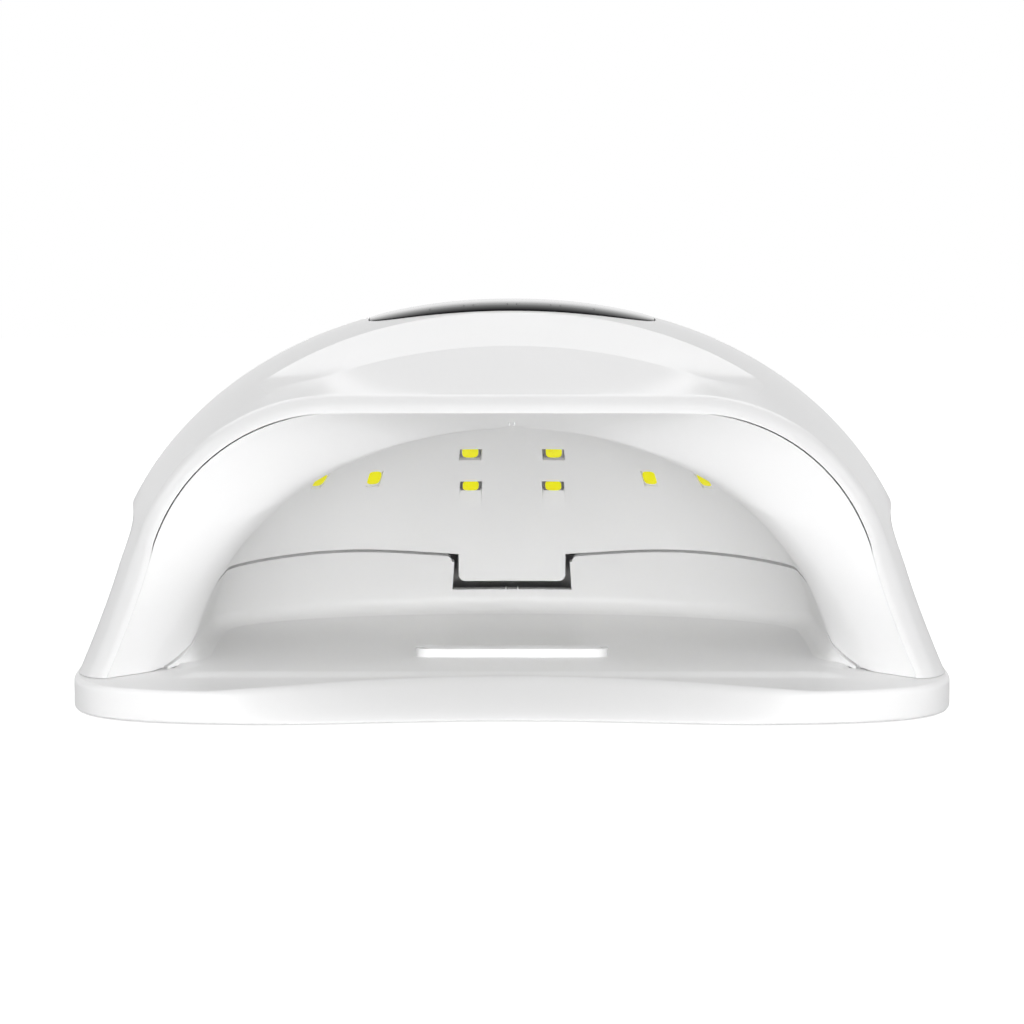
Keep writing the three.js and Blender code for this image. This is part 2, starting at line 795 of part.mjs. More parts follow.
const pocketBottom = rimBottom + coverThickness;
const flangeTop = shellFoot + linerFlange;
const screwCupTop = flangeTop + screwHeadHeight + seatGap;
const magnetCupTop = flangeTop + magnetThickness;
const cupRadius = magnetRadius + linerFlange;

const coverScrewPlaces = sides.flatMap(([, side]) => [
  [side * coverScrewX, coverScrewFrontY],
  [side * coverScrewX, coverScrewRearY],
]);
const footPlaces = sides.flatMap(([name, side]) => [
  [`foot_front_${name}`, side * footX, frontFootY],
  [`foot_rear_${name}`, side * rearFootX, rearFootY],
]);
const housingScrewPlaces = sides.flatMap(([, side]) => [
  [side * housingScrewX, housingScrewY],
  [side * rearScrewX, rearScrewY],
]);
const pillarPlaces = (halfWidth, frontY, rearY) => sides.flatMap(([, side]) => [
  [side * (halfWidth - pillarInset), frontY + pillarInset],
  [side * (halfWidth - pillarInset), rearY - pillarInset],
]);
const driverPillars = pillarPlaces(driverHalfWidth, driverFrontY, driverRearY);
const controlPillars = pillarPlaces(boardHalfWidth, boardFrontY, boardRearY);
const controlBoardTop = domeTop - controlBoardDepth;
const controlBoardBottom = controlBoardTop - boardThickness;

// Tray: a rimmed plate with a ramp at the front and a wall round the hand space

const bow = (x, halfWidth, power) => (1 - clamp01(Math.abs(x) / halfWidth) ** 2) ** power;

function plateauLoop(halfWidth, frontY, z) {
  const rearReachHere = cavityRearReach + basinWall / 2;
  const points = [V(-halfWidth, frontY, z), V(halfWidth, frontY, z)];
  for (let i = 0; i <= roundSides; i += 1) {
    const turn = Math.PI * (i / roundSides);
    points.push(V(halfWidth * Math.cos(turn), cavityTurnY + rearReachHere * Math.sin(turn), z));
  }
  return points;
}

// The rim's outline, drawn in at the front middle: little at its foot and more at its top, which rises
function plateLoop(cornerShare, heightShare, z) {
  const loop = footOutline(cornerShare * rimCornerOut, z);
  for (const p of loop) {
    if (p.y > widestY) continue;
    const foot = rampFootRecess * bow(p.x, rampFootHalfWidth, rampFootPower);
    const top = bow(p.x, rampTopHalfWidth, rampTopPower);
    p.y += mix(foot, rampTopRecess * top, heightShare);
    p.z += crestRise * top * heightShare ** 2;
  }
  return loop;
}

// The rim's edge from below: its heights, the share of the round corner and that of the ramp's recess
const edgeHeights = [
  rimBottom,
  rimBottom + rimCornerOut / 2,
  rimBottom + 2 * rimCornerOut,
  rimHeight - rimCornerOut,
  rimHeight - rimCornerOut / 3,
  rimHeight,
];
const edgeCornerShares = [0.4, 0, 0, 0, 0.25, 1];
const edgeRecessShares = [0, 0.06, 0.24, 0.76, 0.93, 1];

function trayBody() {
  const plate = loft(edgeHeights.map((z, k) => plateLoop(edgeCornerShares[k], edgeRecessShares[k], z)));
  const plateauBase = rimHeight - cutOverrun;
  const plateauFront = frontEdgeY + rampTopRecess + rimCornerOut;
  const plateau = loft([
    plateauLoop(plateauHalfWidth, plateauFront, plateauBase),
    plateauLoop(plateauHalfWidth, plateauFront, rimHeight),
    plateauLoop(plateauHalfWidth - plateauSlope, plateauFront + plateauSlope, floorZ),
  ]);
  const wallSpace = block(V(-baseHalfWidth, mouthY, plateauBase), V(baseHalfWidth, rearEdgeY, domeTop));
  const wall = vaultBetween(0, basinWall).intersect(belowSeam(-seamGap)).intersect(wallSpace);
  const notch = block(V(-notchHalfWidth, cavityTurnY, notchFloor), V(notchHalfWidth, rearEdgeY, domeTop));
  let body = plate.add(plateau).add(wall.subtract(notch)).subtract(coverSpace(0, -cutOverrun, trayPocketTop));
  for (const [x, y] of coverScrewPlaces) {
    const boss = post(x, y, pocketBottom + seatGap, rimHeight - floorRise, bossRadius);
    const hole = post(x, y, 0, rimHeight - floorRise, screwRadius + seatGap);
    body = body.add(boss).subtract(hole);
  }
  for (const [, side] of sides) {
    const floor = rimHeight - magnetThickness - seatGap;
    const top = rimHeight + cutOverrun;
    body = body.subtract(post(side * magnetX, magnetY, floor, top, magnetRadius + seatGap, roundSides));
  }
  return body.add(fingerBar());
}

// Space inside the tray's rim, open below, that the cover closes
function coverSpace(gap, low, high) {
  const front = coverFrontY + gap;
  const loops = [low, high].map((z) => {
    const loop = footOutline(trayWall + rimCornerOut + gap, z);
    loop.forEach((p) => { p.y = Math.max(p.y, front); });
    return loop;
  });
  return loft(loops);
}

// Raised bar under the fingertips, with round ends and a rounded top edge
function fingerBar() {
  const loop = (inset, z) => {
    const points = [];
    const radius = fingerBarWidth / 2 - inset;
    const reach = (fingerBarLength - fingerBarWidth) / 2;
    for (let i = 0; i < roundSides; i += 1) {
      const angle = (2 * Math.PI * (i + 0.5)) / roundSides;
      const x = Math.sign(Math.cos(angle)) * reach + radius * Math.cos(angle);
      points.push(V(x, fingerBarY + radius * Math.sin(angle), z));
    }
    return points;
  };
  const top = floorZ + fingerBarHeight;
  const round = fingerBarWidth / 5;
  return loft([
    loop(0, floorZ - floorRise / 2),
    loop(0, top - round),
    loop(round / 3, top - round / 3),
    loop(round, top),
  ]);
}

add('base_tray', trayBody(), whiteGloss);

// Cover under the tray, its screws and the rubber feet let into it

const footSeatZ = (rimBottom + pocketBottom) / 2;

function coverBody() {
  let body = coverSpace(seatGap, rimBottom, pocketBottom);
  for (const [, x, y] of footPlaces) {
    body = body.subtract(post(x, y, -cutOverrun, footSeatZ, footRadius + seatGap, roundSides));
  }
  for (const [x, y] of coverScrewPlaces) {
    const headRoom = post(x, y, 0, rimBottom + screwHeadHeight, screwHeadRadius + seatGap);
    const hole = post(x, y, 0, rimHeight, screwRadius + seatGap);
    body = body.subtract(hole).subtract(headRoom);
  }
  return body;
}

add('base_cover', coverBody(), whiteSatin);

// A screw with its head at the bottom
function screwBody(x, y, headLow) {
  const headHigh = headLow + screwHeadHeight - 2 * seatGap;
  const head = post(x, y, headLow, headHigh, screwHeadRadius);
  return head.add(post(x, y, headLow, headLow + screwLength, screwRadius));
}

coverScrewPlaces.forEach(([x, y], k) => {
  add(`cover_screw_${k + 1}`, screwBody(x, y, rimBottom + seatGap), steel);
});

for (const [name, x, y] of footPlaces) {
  const softEdge = rimBottom / 2;
  const foot = [[footRadius - softEdge, 0], [footRadius, softEdge], [footRadius, footSeatZ - seatGap]];
  add(name, loft(foot.map(([radius, z]) => roundLoop(x, y, radius, z))), rubber);
}

function roundLoop(x, y, radius, z) {
  const points = [];
  for (let i = 0; i < roundSides; i += 1) {
    const angle = (2 * Math.PI * i) / roundSides;
    points.push(V(x + radius * Math.cos(angle), y + radius * Math.sin(angle), z));
  }
  return points;
}

for (const [name, side] of sides) {
  const low = rimHeight - magnetThickness;
  const high = rimHeight - seatGap / 2;
  add(`tray_magnet_${name}`, post(side * magnetX, magnetY, low, high, magnetRadius, roundSides), steel);
}

// Outer shell, with the opening for the panel, screw bosses and the hole for the power inlet

// Highest a screw boss can reach at a place before it would break out of the shell
function bossTopAt(x, y) {
  const radius = bossRadius - seatGap;
  if (y < gripFadeStart) {
    const drawnIn = (halfWidthAt(y, shellInset) - Math.abs(x) - radius - shellWall / 2) / skirtReach;
    return rimHeight + skirtHeight * (1 - Math.max(0, 1 - drawnIn) ** (1 / skirtPower));
  }
  return domeZ(Math.abs(x) + radius * Math.SQRT1_2, y + radius * Math.SQRT1_2) - shellWall;
}

function shellBody() {
  const skin = skinRows.map(skinRow);
  let body = sheet(skin, insetGrid(skin, shellWall));
  body = body.subtract(panelPlate(fitGap, panelProud - panelThickness - seatGap, cutOverrun));
  body = body.subtract(panelPlate(-panelLedge, -2 * shellWall, cutOverrun));
  for (const [x, y] of housingScrewPlaces) {
    body = body.add(post(x, y, screwCupTop + seatGap, bossTopAt(x, y), bossRadius - seatGap));
    const holeTop = shellFoot + seatGap + screwLength + seatGap;
    body = body.subtract(post(x, y, 0, holeTop, screwRadius + seatGap));
  }
  const from = V(0, rearEdgeY - jackLength, jackZ);
  return body.subtract(rod(from, V(0, rearEdgeY + cutOverrun, jackZ), jackRadius + seatGap));
}

add('outer_shell', shellBody(), whiteGloss);

// Liner: the flared band, the vault, a skirt round the tray's wall and a flange that closes the housing

// A solid whose plan is the opening of the flared band, used to keep the flange behind it
function throatSpace() {
  const plan = flareShares.map((share) => flareLine(share, linerWall / 2).at(-1));
  const corners = [...plan.map((p) => [p.x, p.y]), ...plan.map((p) => [-p.x, p.y]).reverse()];
  corners[0][1] = frontEdgeY;
  corners[corners.length - 1][1] = frontEdgeY;
  const loops = [-cutOverrun, cupRadius + magnetCupTop].map((z) => corners.map(([x, y]) => V(x, y, z)));
  return loft(loops);
}

function cavityCrown(x, y) {
  const across = x / cavityHalfWidthAt(y);
  const back = Math.max(0, y - cavityTurnY) / cavityRearReach;
  return cavityHeightAt(y) * Math.sqrt(1 - across ** 2 - back ** 2);
}

function linerBody() {
  const stepOut = linerStep + linerSkirtWall;
  const skirt = vaultBetween(0, stepOut).intersect(belowSeam(seamGap + linerShoulder));
  const trayRoom = vaultFilled(linerStep).intersect(belowSeam(seamGap));
  const inset = shellInset + 2 * shellWall;
  let flange = loft([footOutline(inset, shellFoot), footOutline(inset, flangeTop)]);
  for (const [, side] of sides) {
    flange = flange.add(post(side * magnetX, magnetY, shellFoot, magnetCupTop, cupRadius, roundSides));
  }
  for (const [x, y] of housingScrewPlaces) {
    flange = flange.add(post(x, y, shellFoot, screwCupTop, screwHeadRadius + linerFlange));
  }
  const lipSpace = block(V(-baseHalfWidth, frontEdgeY, 0), V(baseHalfWidth, archY + rollDepth, domeTop));
  flange = flange.subtract(throatSpace()).subtract(vaultFilled(linerStep)).subtract(lipSpace);
  const below = block(V(-baseHalfWidth, frontEdgeY, -domeTop), V(baseHalfWidth, rearEdgeY, shellFoot));
  const tongueSpace = block(
    V(-tongueHalfWidth, cavityTurnY, tongueBottom),
    V(tongueHalfWidth, rearEdgeY, seamRearZ + linerShoulder),
  );
  const tongue = vaultBetween(0, linerWall).intersect(tongueSpace);
  let body = vaultBetween(0, linerWall).add(skirt).add(flange).subtract(trayRoom).subtract(below);
  body = body.add(flareBand()).add(tongue);
  for (const led of ledPlaces) body = body.subtract(ledWindow(led));
  for (const [pillars, top] of [[driverPillars, driverBottom], [controlPillars, controlBoardBottom]]) {
    for (const [x, y] of pillars) {
      const foot = cavityCrown(x, y) + linerWall / 2;
      body = body.add(post(x, y, foot, top - seatGap, pillarRadius));
    }
  }
  for (const [x, y] of housingScrewPlaces) {
    const headRoom = post(x, y, 0, shellFoot + screwHeadHeight, screwHeadRadius + seatGap);
    const hole = post(x, y, 0, domeTop, screwRadius + seatGap);
    body = body.subtract(headRoom).subtract(hole);
  }
  for (const [, side] of sides) {
    const ceiling = flangeTop + seatGap;
    body = body.subtract(post(side * magnetX, magnetY, 0, ceiling, magnetRadius + seatGap, roundSides));
  }
  return sensorCuts(body);
}

// Hand sensor at the top of the mouth: a shallow recess in the edge, two holes and two little posts
const sensorY = mouthY - sensorBoardDepth / 4;
const sensorLow = mouthTop + sensorRecess;
const sensorHigh = sensorLow + sensorLength;
const sensorBoardBottom = sensorHigh + seatGap;

function sensorCuts(body) {
  const recessHalf = sensorBoardWidth / 4;
  const recess = block(
    V(-recessHalf, mouthY - sensorBoardDepth / 2, cavityTop / 2),
    V(recessHalf, mouthY + sensorBoardDepth / 3, sensorLow),
  );
  let cut = body.subtract(recess);
  for (const [, side] of sides) {
    const postX = side * (sensorBoardWidth / 2 - sensorRadius - seatGap);
    const foot = mouthTop + linerWall / 2;
    cut = cut.add(post(postX, sensorY, foot, sensorBoardBottom - seatGap, sensorRadius));
    cut = cut.subtract(post(side * sensorX, sensorY, cavityTop / 2, sensorHigh, sensorRadius + seatGap));
  }
  return cut;
}

add('reflector_liner', linerBody(), whiteGloss);

// Light sources and the boards behind them

for (const led of ledPlaces) {
  const back = linerWall - seatGap / 2;
  add(led.name, wallBlock(led.place, led.length, led.width, back - ledHeight, back), phosphor);
}

const rearBoard = { turn: directionOf(rearLedX + ledLength / 2 + ledBoardMargin, upperLedZ) };
const rearBoardLow = lowerLedZ - ledWidth / 2 - ledBoardMargin / 3;
const rearBoardHigh = upperLedZ + ledWidth / 2 + ledBoardMargin / 3;
add('led_board_rear', wallBoard(-rearBoard.turn, rearBoard.turn, rearBoardLow, rearBoardHigh, 1), boardWhite);
for (const [name, side] of sides) {
  const low = sideLedZ - ledLength / 2 - ledBoardMargin / 3;
  const high = sideLedZ + ledLength / 2 + ledBoardMargin / 3;
  const from = directionOf(sideLedX(innerLedShare) - ledWidth / 2 - ledBoardMargin / 3, sideLedZ);
  add(`led_board_${name}`, wallBoard(from, 90, low, high, side), boardWhite);
}
add('led_board_ceiling', ceilingBoard(), boardWhite);

function ceilingBoard() {
  const front = ceilingLedFrontY - ledBoardMargin;
  const rear = ceilingLedRearY + ledBoardMargin;
  const halfWidth = ceilingLedX + (ledLength + ledBoardMargin) / 2;
  const grid = (offset) => boardRowShares.map((t) => {
    const line = [];
    for (let i = 0; i <= ceilingSteps; i += 1) {
      const x = mix(-halfWidth, halfWidth, i / ceilingSteps);
      line.push(ceilingAt(x, mix(front, rear, t), offset));
    }
    return line;
  });
  const from = linerWall + seatGap;
  return sheet(grid(from + boardThickness), grid(from));
}

// Boards, display, keys and switches under the panel

function plainBoard(halfWidth, frontY, rearY, low) {
  return block(V(-halfWidth, frontY, low), V(halfWidth, rearY, low + boardThickness));
}

add('control_board', plainBoard(boardHalfWidth, boardFrontY, boardRearY, controlBoardBottom), boardGreen);
add('driver_board', plainBoard(driverHalfWidth, driverFrontY, driverRearY, driverBottom), boardGreen);

const displayFrontY = displayY - displayDepth / 2;
const lensUnderside = domeZ(displayWidth / 2, displayFrontY) + panelProud - panelThickness;
const displayLow = V(-displayWidth / 2, displayFrontY, controlBoardTop + seatGap);
const displayHigh = V(displayWidth / 2, displayFrontY + displayDepth, lensUnderside - 2 * seatGap);
add('display_module', block(displayLow, displayHigh), blackPlastic);

// Frame on the dome: X across, Y up the slope, Z along the outward normal
function domeFrame(x, y) {
  const step = shellWall;
  const across = V(step, 0, domeZ(x + step / 2, y) - domeZ(x - step / 2, y)).normalize();
  const along = V(0, step, domeZ(x, y + step / 2) - domeZ(x, y - step / 2)).normalize();
  const normal = across.clone().cross(along).normalize();
  const up = normal.clone().cross(across);
  return new THREE.Matrix4().makeBasis(across, up, normal).setPosition(x, y, domeZ(x, y));
}

// Rounded rectangle raised along the frame's Z
function keySlab(frame, width, depth, corner, low, high) {
  const loop = (z) => {
    const points = [];
    for (const [signX, signY, start] of [[1, 1, 0], [-1, 1, 1], [-1, -1, 2], [1, -1, 3]]) {
      for (let i = 0; i <= cornerSteps; i += 1) {
        const angle = (Math.PI / 2) * (start + i / cornerSteps);
        const x = signX * (width / 2 - corner) + corner * Math.cos(angle);
        points.push(V(x, signY * (depth / 2 - corner) + corner * Math.sin(angle), z).applyMatrix4(frame));
      }
    }
    return points;
  };
  return loft([loop(low), loop(high)]);
}

const keyNames = ['first', 'second', 'third', 'fourth'];
const keyMiddle = (keyNames.length - 1) / 2;
const keys = keyNames.map((name, k) => ({ name, frame: domeFrame((k - keyMiddle) * keyPitch, keyY) }));
const lensBottom = panelProud - panelThickness;
const keyFlangeTop = lensBottom - keyFlangeGap;
const keyFlangeLow = keyFlangeTop - keyFlangeHeight;
const stemLow = keyFlangeLow - keyStemLength;

function lensBody() {
  let body = panelPlate(0, lensBottom, panelProud);
  for (const key of keys) {
    const width = keyWidth + 2 * keyGap;
    const depth = keyDepth + 2 * keyGap;
    body = body.subtract(keySlab(key.frame, width, depth, keyCorner, -2 * shellWall, cutOverrun));
  }
  return body;
}

add('display_lens', lensBody(), blackGlass);

for (const key of keys) {
  const cap = keySlab(key.frame, keyWidth, keyDepth, keyCorner, keyFlangeLow, panelProud + keyProud);
  const width = keyWidth + keyFlange;
  const depth = keyDepth + 2 * keyFlange;
  const flange = keySlab(key.frame, width, depth, keyCorner, keyFlangeLow, keyFlangeTop);
  const low = V(0, 0, stemLow).applyMatrix4(key.frame);
  const high = V(0, 0, keyFlangeTop).applyMatrix4(key.frame);
  add(`timer_key_${key.name}`, cap.add(flange).add(rod(low, high, keyStemRadius, smallSides)), blackGlass);
}

for (const key of keys) {
  const stem = V(0, 0, stemLow).applyMatrix4(key.frame);
  const low = controlBoardTop + seatGap;
  const top = low + tactHeight;
  const half = tactSize / 2;
  const housing = block(V(stem.x - half, stem.y - half, low), V(stem.x + half, stem.y + half, top));
  const plunger = post(stem.x, stem.y, low, top + plungerHeight, plungerRadius);
  add(`key_switch_${key.name}`, housing.add(plunger), blackPlastic);
}

// Capacitor lying on the driver board

const capacitorY = mix(driverFrontY, driverRearY, capacitorShare);
const capacitorZ = driverBottom + boardThickness + seatGap + capacitorRadius;
add('driver_capacitor', rod(
  V(-capacitorLength / 2, capacitorY, capacitorZ),
  V(capacitorLength / 2, capacitorY, capacitorZ),
  capacitorRadius,
), blackPlastic);

// Power inlet in the back of the shell, with its flange inside the wall

function skinY(z) {
  return shellRearY * (1 - ((z - shellFoot) / domeHeight) ** ridgePower) ** (1 / ridgePower);
}

const jackMouthY = skinY(jackZ) - seatGap;
const jackFlangeY = skinY(jackZ + jackFlangeRadius) - shellWall - 2 * seatGap;

function jackBody() {
  const along = (from, to, radius) => rod(V(0, from, jackZ), V(0, to, jackZ), radius, smallSides);
  const barrel = along(jackMouthY - jackLength, jackMouthY, jackRadius);
  const flange = along(jackFlangeY - jackFlangeThickness, jackFlangeY, jackFlangeRadius);
  const bore = along(jackMouthY - jackBoreDepth, jackMouthY + cutOverrun, jackBoreRadius);
  const pin = along(jackMouthY - jackBoreDepth - cutOverrun, jackMouthY - cutOverrun, jackPinRadius);
  return barrel.add(flange).subtract(bore).add(pin);
}

add('dc_jack', jackBody(), blackPlastic);

// Hand sensor's board and its two eyes

const sensorHalf = V(sensorBoardWidth / 2, sensorBoardDepth / 2, boardThickness / 2);
const sensorMiddle = V(0, sensorY, sensorBoardBottom + sensorHalf.z);
const sensorBlock = block(sensorMiddle.clone().sub(sensorHalf), sensorMiddle.clone().add(sensorHalf));
add('sensor_board', sensorBlock, boardGreen);
for (const [name, side] of [['emitter', -1], ['receiver', 1]]) {
  const eye = post(side * sensorX, sensorY, sensorLow, sensorHigh, sensorRadius);
  add(`sensor_${name}`, eye, boardWhite);
}

// Magnets and screws of the housing

for (const [name, side] of sides) {
  const low = flangeTop - magnetThickness;
  const magnet = post(side * magnetX, magnetY, low, flangeTop, magnetRadius, roundSides);
  add(`housing_magnet_${name}`, magnet, steel);
}

housingScrewPlaces.forEach(([x, y], k) => {
  add(`housing_screw_${k + 1}`, screwBody(x, y, shellFoot + seatGap), steel);
});

// Leads between the boards

function lead(points) {
  const section = new THREE.Shape();
  for (let i = 0; i < leadSides; i += 1) {
    const angle = (2 * Math.PI * i) / leadSides;
    const place = [leadRadius * Math.cos(angle), leadRadius * Math.sin(angle)];
    if (i === 0) section.moveTo(...place);
    else section.lineTo(...place);
  }
  const extrudePath = new THREE.CatmullRomCurve3(points);
  const steps = leadStepsPerPoint * points.length;
  return solid(new THREE.ExtrudeGeometry(section, { steps, bevelEnabled: false, extrudePath }));
}

const driverTop = driverBottom + boardThickness;
const leadX = driverHalfWidth / 2;
const jackBack = jackMouthY - jackLength - seatGap;
const leadBend = 4 * leadRadius;

add('lead_power', lead([
  V(0, jackBack, jackZ),
  V(0, jackBack - leadBend, jackZ),
  V(leadX / 2, jackBack - 2 * leadBend, mix(jackZ, driverTop, leadRiseShares[0])),
  V(leadX, mix(jackBack, driverRearY, leadReachShare), mix(jackZ, driverTop, leadRiseShares[1])),
  V(leadX, driverRearY, driverTop + 2 * leadBend),
  V(leadX, driverRearY - pillarInset, driverTop + leadBend),
  V(leadX, driverRearY - pillarInset, driverTop + seatGap),
]), wireRed);

const panelLeadY = boardRearY - pillarInset;
add('lead_panel', lead([
  V(-leadX, driverFrontY + pillarInset, driverTop + seatGap),
  V(-leadX, driverFrontY + pillarInset, driverTop + leadBend),
  V(-leadX, panelLeadY, controlBoardBottom - leadBend),
  V(-leadX, panelLeadY, controlBoardBottom - seatGap),
]), wireRed);

export default group;
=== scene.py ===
import json
import math
import bpy
import numpy as np
from mathutils import Matrix, Vector

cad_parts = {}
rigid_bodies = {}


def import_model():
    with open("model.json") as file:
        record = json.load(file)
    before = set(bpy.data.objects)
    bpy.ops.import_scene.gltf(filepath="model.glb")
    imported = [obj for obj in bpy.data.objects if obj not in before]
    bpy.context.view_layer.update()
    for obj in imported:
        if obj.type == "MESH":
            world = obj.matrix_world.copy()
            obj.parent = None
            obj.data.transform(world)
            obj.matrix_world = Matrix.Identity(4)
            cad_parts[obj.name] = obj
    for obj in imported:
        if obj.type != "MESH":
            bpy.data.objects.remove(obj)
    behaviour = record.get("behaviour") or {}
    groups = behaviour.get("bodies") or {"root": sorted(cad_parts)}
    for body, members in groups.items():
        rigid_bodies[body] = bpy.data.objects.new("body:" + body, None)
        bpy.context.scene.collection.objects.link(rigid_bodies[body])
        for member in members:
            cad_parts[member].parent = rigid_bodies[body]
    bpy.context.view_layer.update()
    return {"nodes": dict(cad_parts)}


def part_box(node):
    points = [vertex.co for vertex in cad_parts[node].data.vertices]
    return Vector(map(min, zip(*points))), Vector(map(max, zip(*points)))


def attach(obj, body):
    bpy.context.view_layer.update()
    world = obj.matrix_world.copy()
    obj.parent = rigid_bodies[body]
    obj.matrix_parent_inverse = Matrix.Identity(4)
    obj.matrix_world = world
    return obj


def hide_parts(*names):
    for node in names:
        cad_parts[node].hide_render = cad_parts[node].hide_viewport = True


for leftover in list(bpy.data.objects):
    bpy.data.objects.remove(leftover)

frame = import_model()
nodes = frame["nodes"]
mm = 0.001
tiny = 1e-6
sides = {"left": -1, "right": 1}
print("frame loaded:", len(nodes), "nodes")

# Selection, edit mode and modifiers


def pick(piece):
    for other in bpy.context.selected_objects:
        other.select_set(False)
    piece.select_set(True)
    bpy.context.view_layer.objects.active = piece


def beginEdit(piece):
    pick(piece)
    bpy.ops.object.mode_set(mode="EDIT")
    bpy.ops.mesh.select_all(action="SELECT")


def endEdit():
    bpy.ops.object.mode_set(mode="OBJECT")


def tidyMesh(piece, closeness=0.0005):
    beginEdit(piece)
    bpy.ops.mesh.remove_doubles(threshold=closeness * mm)
    bpy.ops.mesh.normals_make_consistent(inside=False)
    endEdit()


def applyModifier(piece, kind, **settings):
    pick(piece)
    modifier = piece.modifiers.new(kind.lower(), kind)
    for key, value in settings.items():
        setattr(modifier, key, value)
    bpy.ops.object.modifier_apply(modifier=modifier.name)


def easeEdges(piece, width, segments=3):
    applyModifier(piece, "BEVEL", width=width * mm, segments=segments, limit_method="ANGLE", angle_limit=1)


def cutAway(piece, cutter, operation="DIFFERENCE"):
    applyModifier(piece, "BOOLEAN", object=cutter, operation=operation, solver="EXACT")
    bpy.data.objects.remove(cutter)


def joinAll(pieces):
    pick(pieces[0])
    for piece in pieces[1:]:
        piece.select_set(True)
    bpy.ops.object.join()
    return bpy.context.object


def settle(piece, matrix=None):
    pick(piece)
    bpy.ops.object.transform_apply(location=True, rotation=True, scale=True)
    if matrix is not None:
        piece.data.transform(matrix)
        if matrix.determinant() < 0:
            piece.data.flip_normals()
    return piece


# Ride on a body, stand for CAD nodes and take finishes
def mountPiece(piece, name, body, finishes, stands, smoothDegrees=35):
    piece.name = name
    piece.data.name = name
    if len(finishes) == 1:
        piece.data.materials.clear()
        piece.data.materials.append(finishes[0])
    pick(piece)
    bpy.ops.object.shade_smooth_by_angle(angle=math.radians(smoothDegrees))
    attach(piece, body)
    if stands:
        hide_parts(*stands)


# Primitives shaped by a formula; points are in millimetres, rows by columns by 3


def flatGrid(points):
    rows, columns = points.shape[:2]
    bpy.ops.mesh.primitive_grid_add(x_subdivisions=columns - 1, y_subdivisions=rows - 1, size=2)
    return bpy.context.object


def gridSheet(points):
    piece = flatGrid(points)
    piece.data.vertices.foreach_set("co", (points.reshape(-1, 3) * mm).ravel())
    piece.data.update()
    return piece


def closedSkin(points):
    piece = gridSheet(points)
    tidyMesh(piece)
    return piece


# A closed wall between two sheets of points
def thickSheet(near, far):
    rows, columns = near.shape[:2]
    piece = flatGrid(near)
    beginEdit(piece)
    bpy.ops.mesh.extrude_region_move(TRANSFORM_OT_translate={"value": (0, 0, 1)})
    endEdit()
    flat = np.empty(len(piece.data.vertices) * 3)
    piece.data.vertices.foreach_get("co", flat)
    flat = flat.reshape(-1, 3)
    column = np.rint((flat[:, 0] + 1) / 2 * (columns - 1)).astype(int)
    row = np.rint((flat[:, 1] + 1) / 2 * (rows - 1)).astype(int)
    lifted = flat[:, 2:] > 0.5
    placed = np.where(lifted, far[row, column], near[row, column])
    piece.data.vertices.foreach_set("co", (placed * mm).ravel())
    tidyMesh(piece)
    return piece


def shift(x, y, z):
    return Matrix.Translation((x * mm, y * mm, z * mm))


def frameAt(place, across, up, out):
    turned = Matrix((across, up, out)).transposed().to_4x4()
    turned.translation = Vector(place) * mm
    return turned


# A round bar along an axis, its ends eased by a small bevel
def roundBar(radius, low, high, place=(0, 0, 0), axis="Z", facets=48, ease=0):
    bpy.ops.mesh.primitive_cylinder_add(vertices=facets, radius=radius * mm, depth=(high - low) * mm)
    piece = bpy.context.object
    settle(piece, shift(0, 0, (low + high) / 2))
    if ease:
        easeEdges(piece, ease)
    turn = Matrix.Rotation(-math.pi / 2, 4, "X") if axis == "Y" else Matrix.Identity(4)
    return settle(piece, shift(*place) @ turn)


def easedBlock(size, ease=0, segments=3):
    bpy.ops.mesh.primitive_cube_add(size=1)
    piece = bpy.context.object
    piece.scale = [side * mm for side in size]
    settle(piece)
    if ease:
        applyModifier(piece, "BEVEL", width=ease * mm, segments=segments, limit_method="NONE")
    return piece


# A block whose upright edges are rounded, then its other edges eased
def roundedBlock(width, depth, corner, low, high, ease=0, cornerSegments=8, easeSegments=3):
    block = easedBlock((width, depth, high - low))
    for line in block.data.edges:
        ends = [block.data.vertices[k].co for k in line.vertices]
        line.select = abs(ends[0].z - ends[1].z) > (high - low) / 2 * mm
    pick(block)
    bpy.ops.object.mode_set(mode="EDIT")
    bpy.ops.mesh.select_mode(type="EDGE")
    bpy.ops.mesh.bevel(offset=corner * mm, segments=cornerSegments, affect="EDGES")
    endEdit()
    if ease:
        easeEdges(block, ease, easeSegments)
    return settle(block, shift(0, 0, (low + high) / 2))


def copyTo(piece, place=(0, 0, 0)):
    copy = piece.copy()
    copy.data = piece.data.copy()
    bpy.context.collection.objects.link(copy)
    return settle(copy, shift(*place))


def clamp01(value):
    return np.clip(value, 0, 1)


def mix(a, b, share):
    return a + (b - a) * share


def smoothStep(low, high, value):
    share = clamp01((value - low) / (high - low))
    return share * share * (3 - 2 * share)


def stack(x, y, z):
    return np.stack(np.broadcast_arrays(x, y, z), -1).astype(float)


# Outline of the foot, seen from above

foot = {
    "halfWidth": 113.4,
    "widestY": -20,
    "frontReach": 83.6,
    "rearReach": 122.6,
    "frontPower": 5.5,
    "rearPower": 2.3,
    "outlineSteps": 300,
    "walkSteps": 6000,
}
rearEdgeY = foot["widestY"] + foot["rearReach"]
frontEdgeY = foot["widestY"] - foot["frontReach"]


def reachAndPower(front, inset):
    reach = np.where(front, foot["frontReach"], foot["rearReach"]) - inset
    return reach, np.where(front, foot["frontPower"], foot["rearPower"])


def halfWidthAt(y, inset=0):
    reach, power = reachAndPower(np.asarray(y) < foot["widestY"], inset)
    share = clamp01(np.abs(y - foot["widestY"]) / reach)
    return (foot["halfWidth"] - inset) * (1 - share ** power) ** (1 / power)


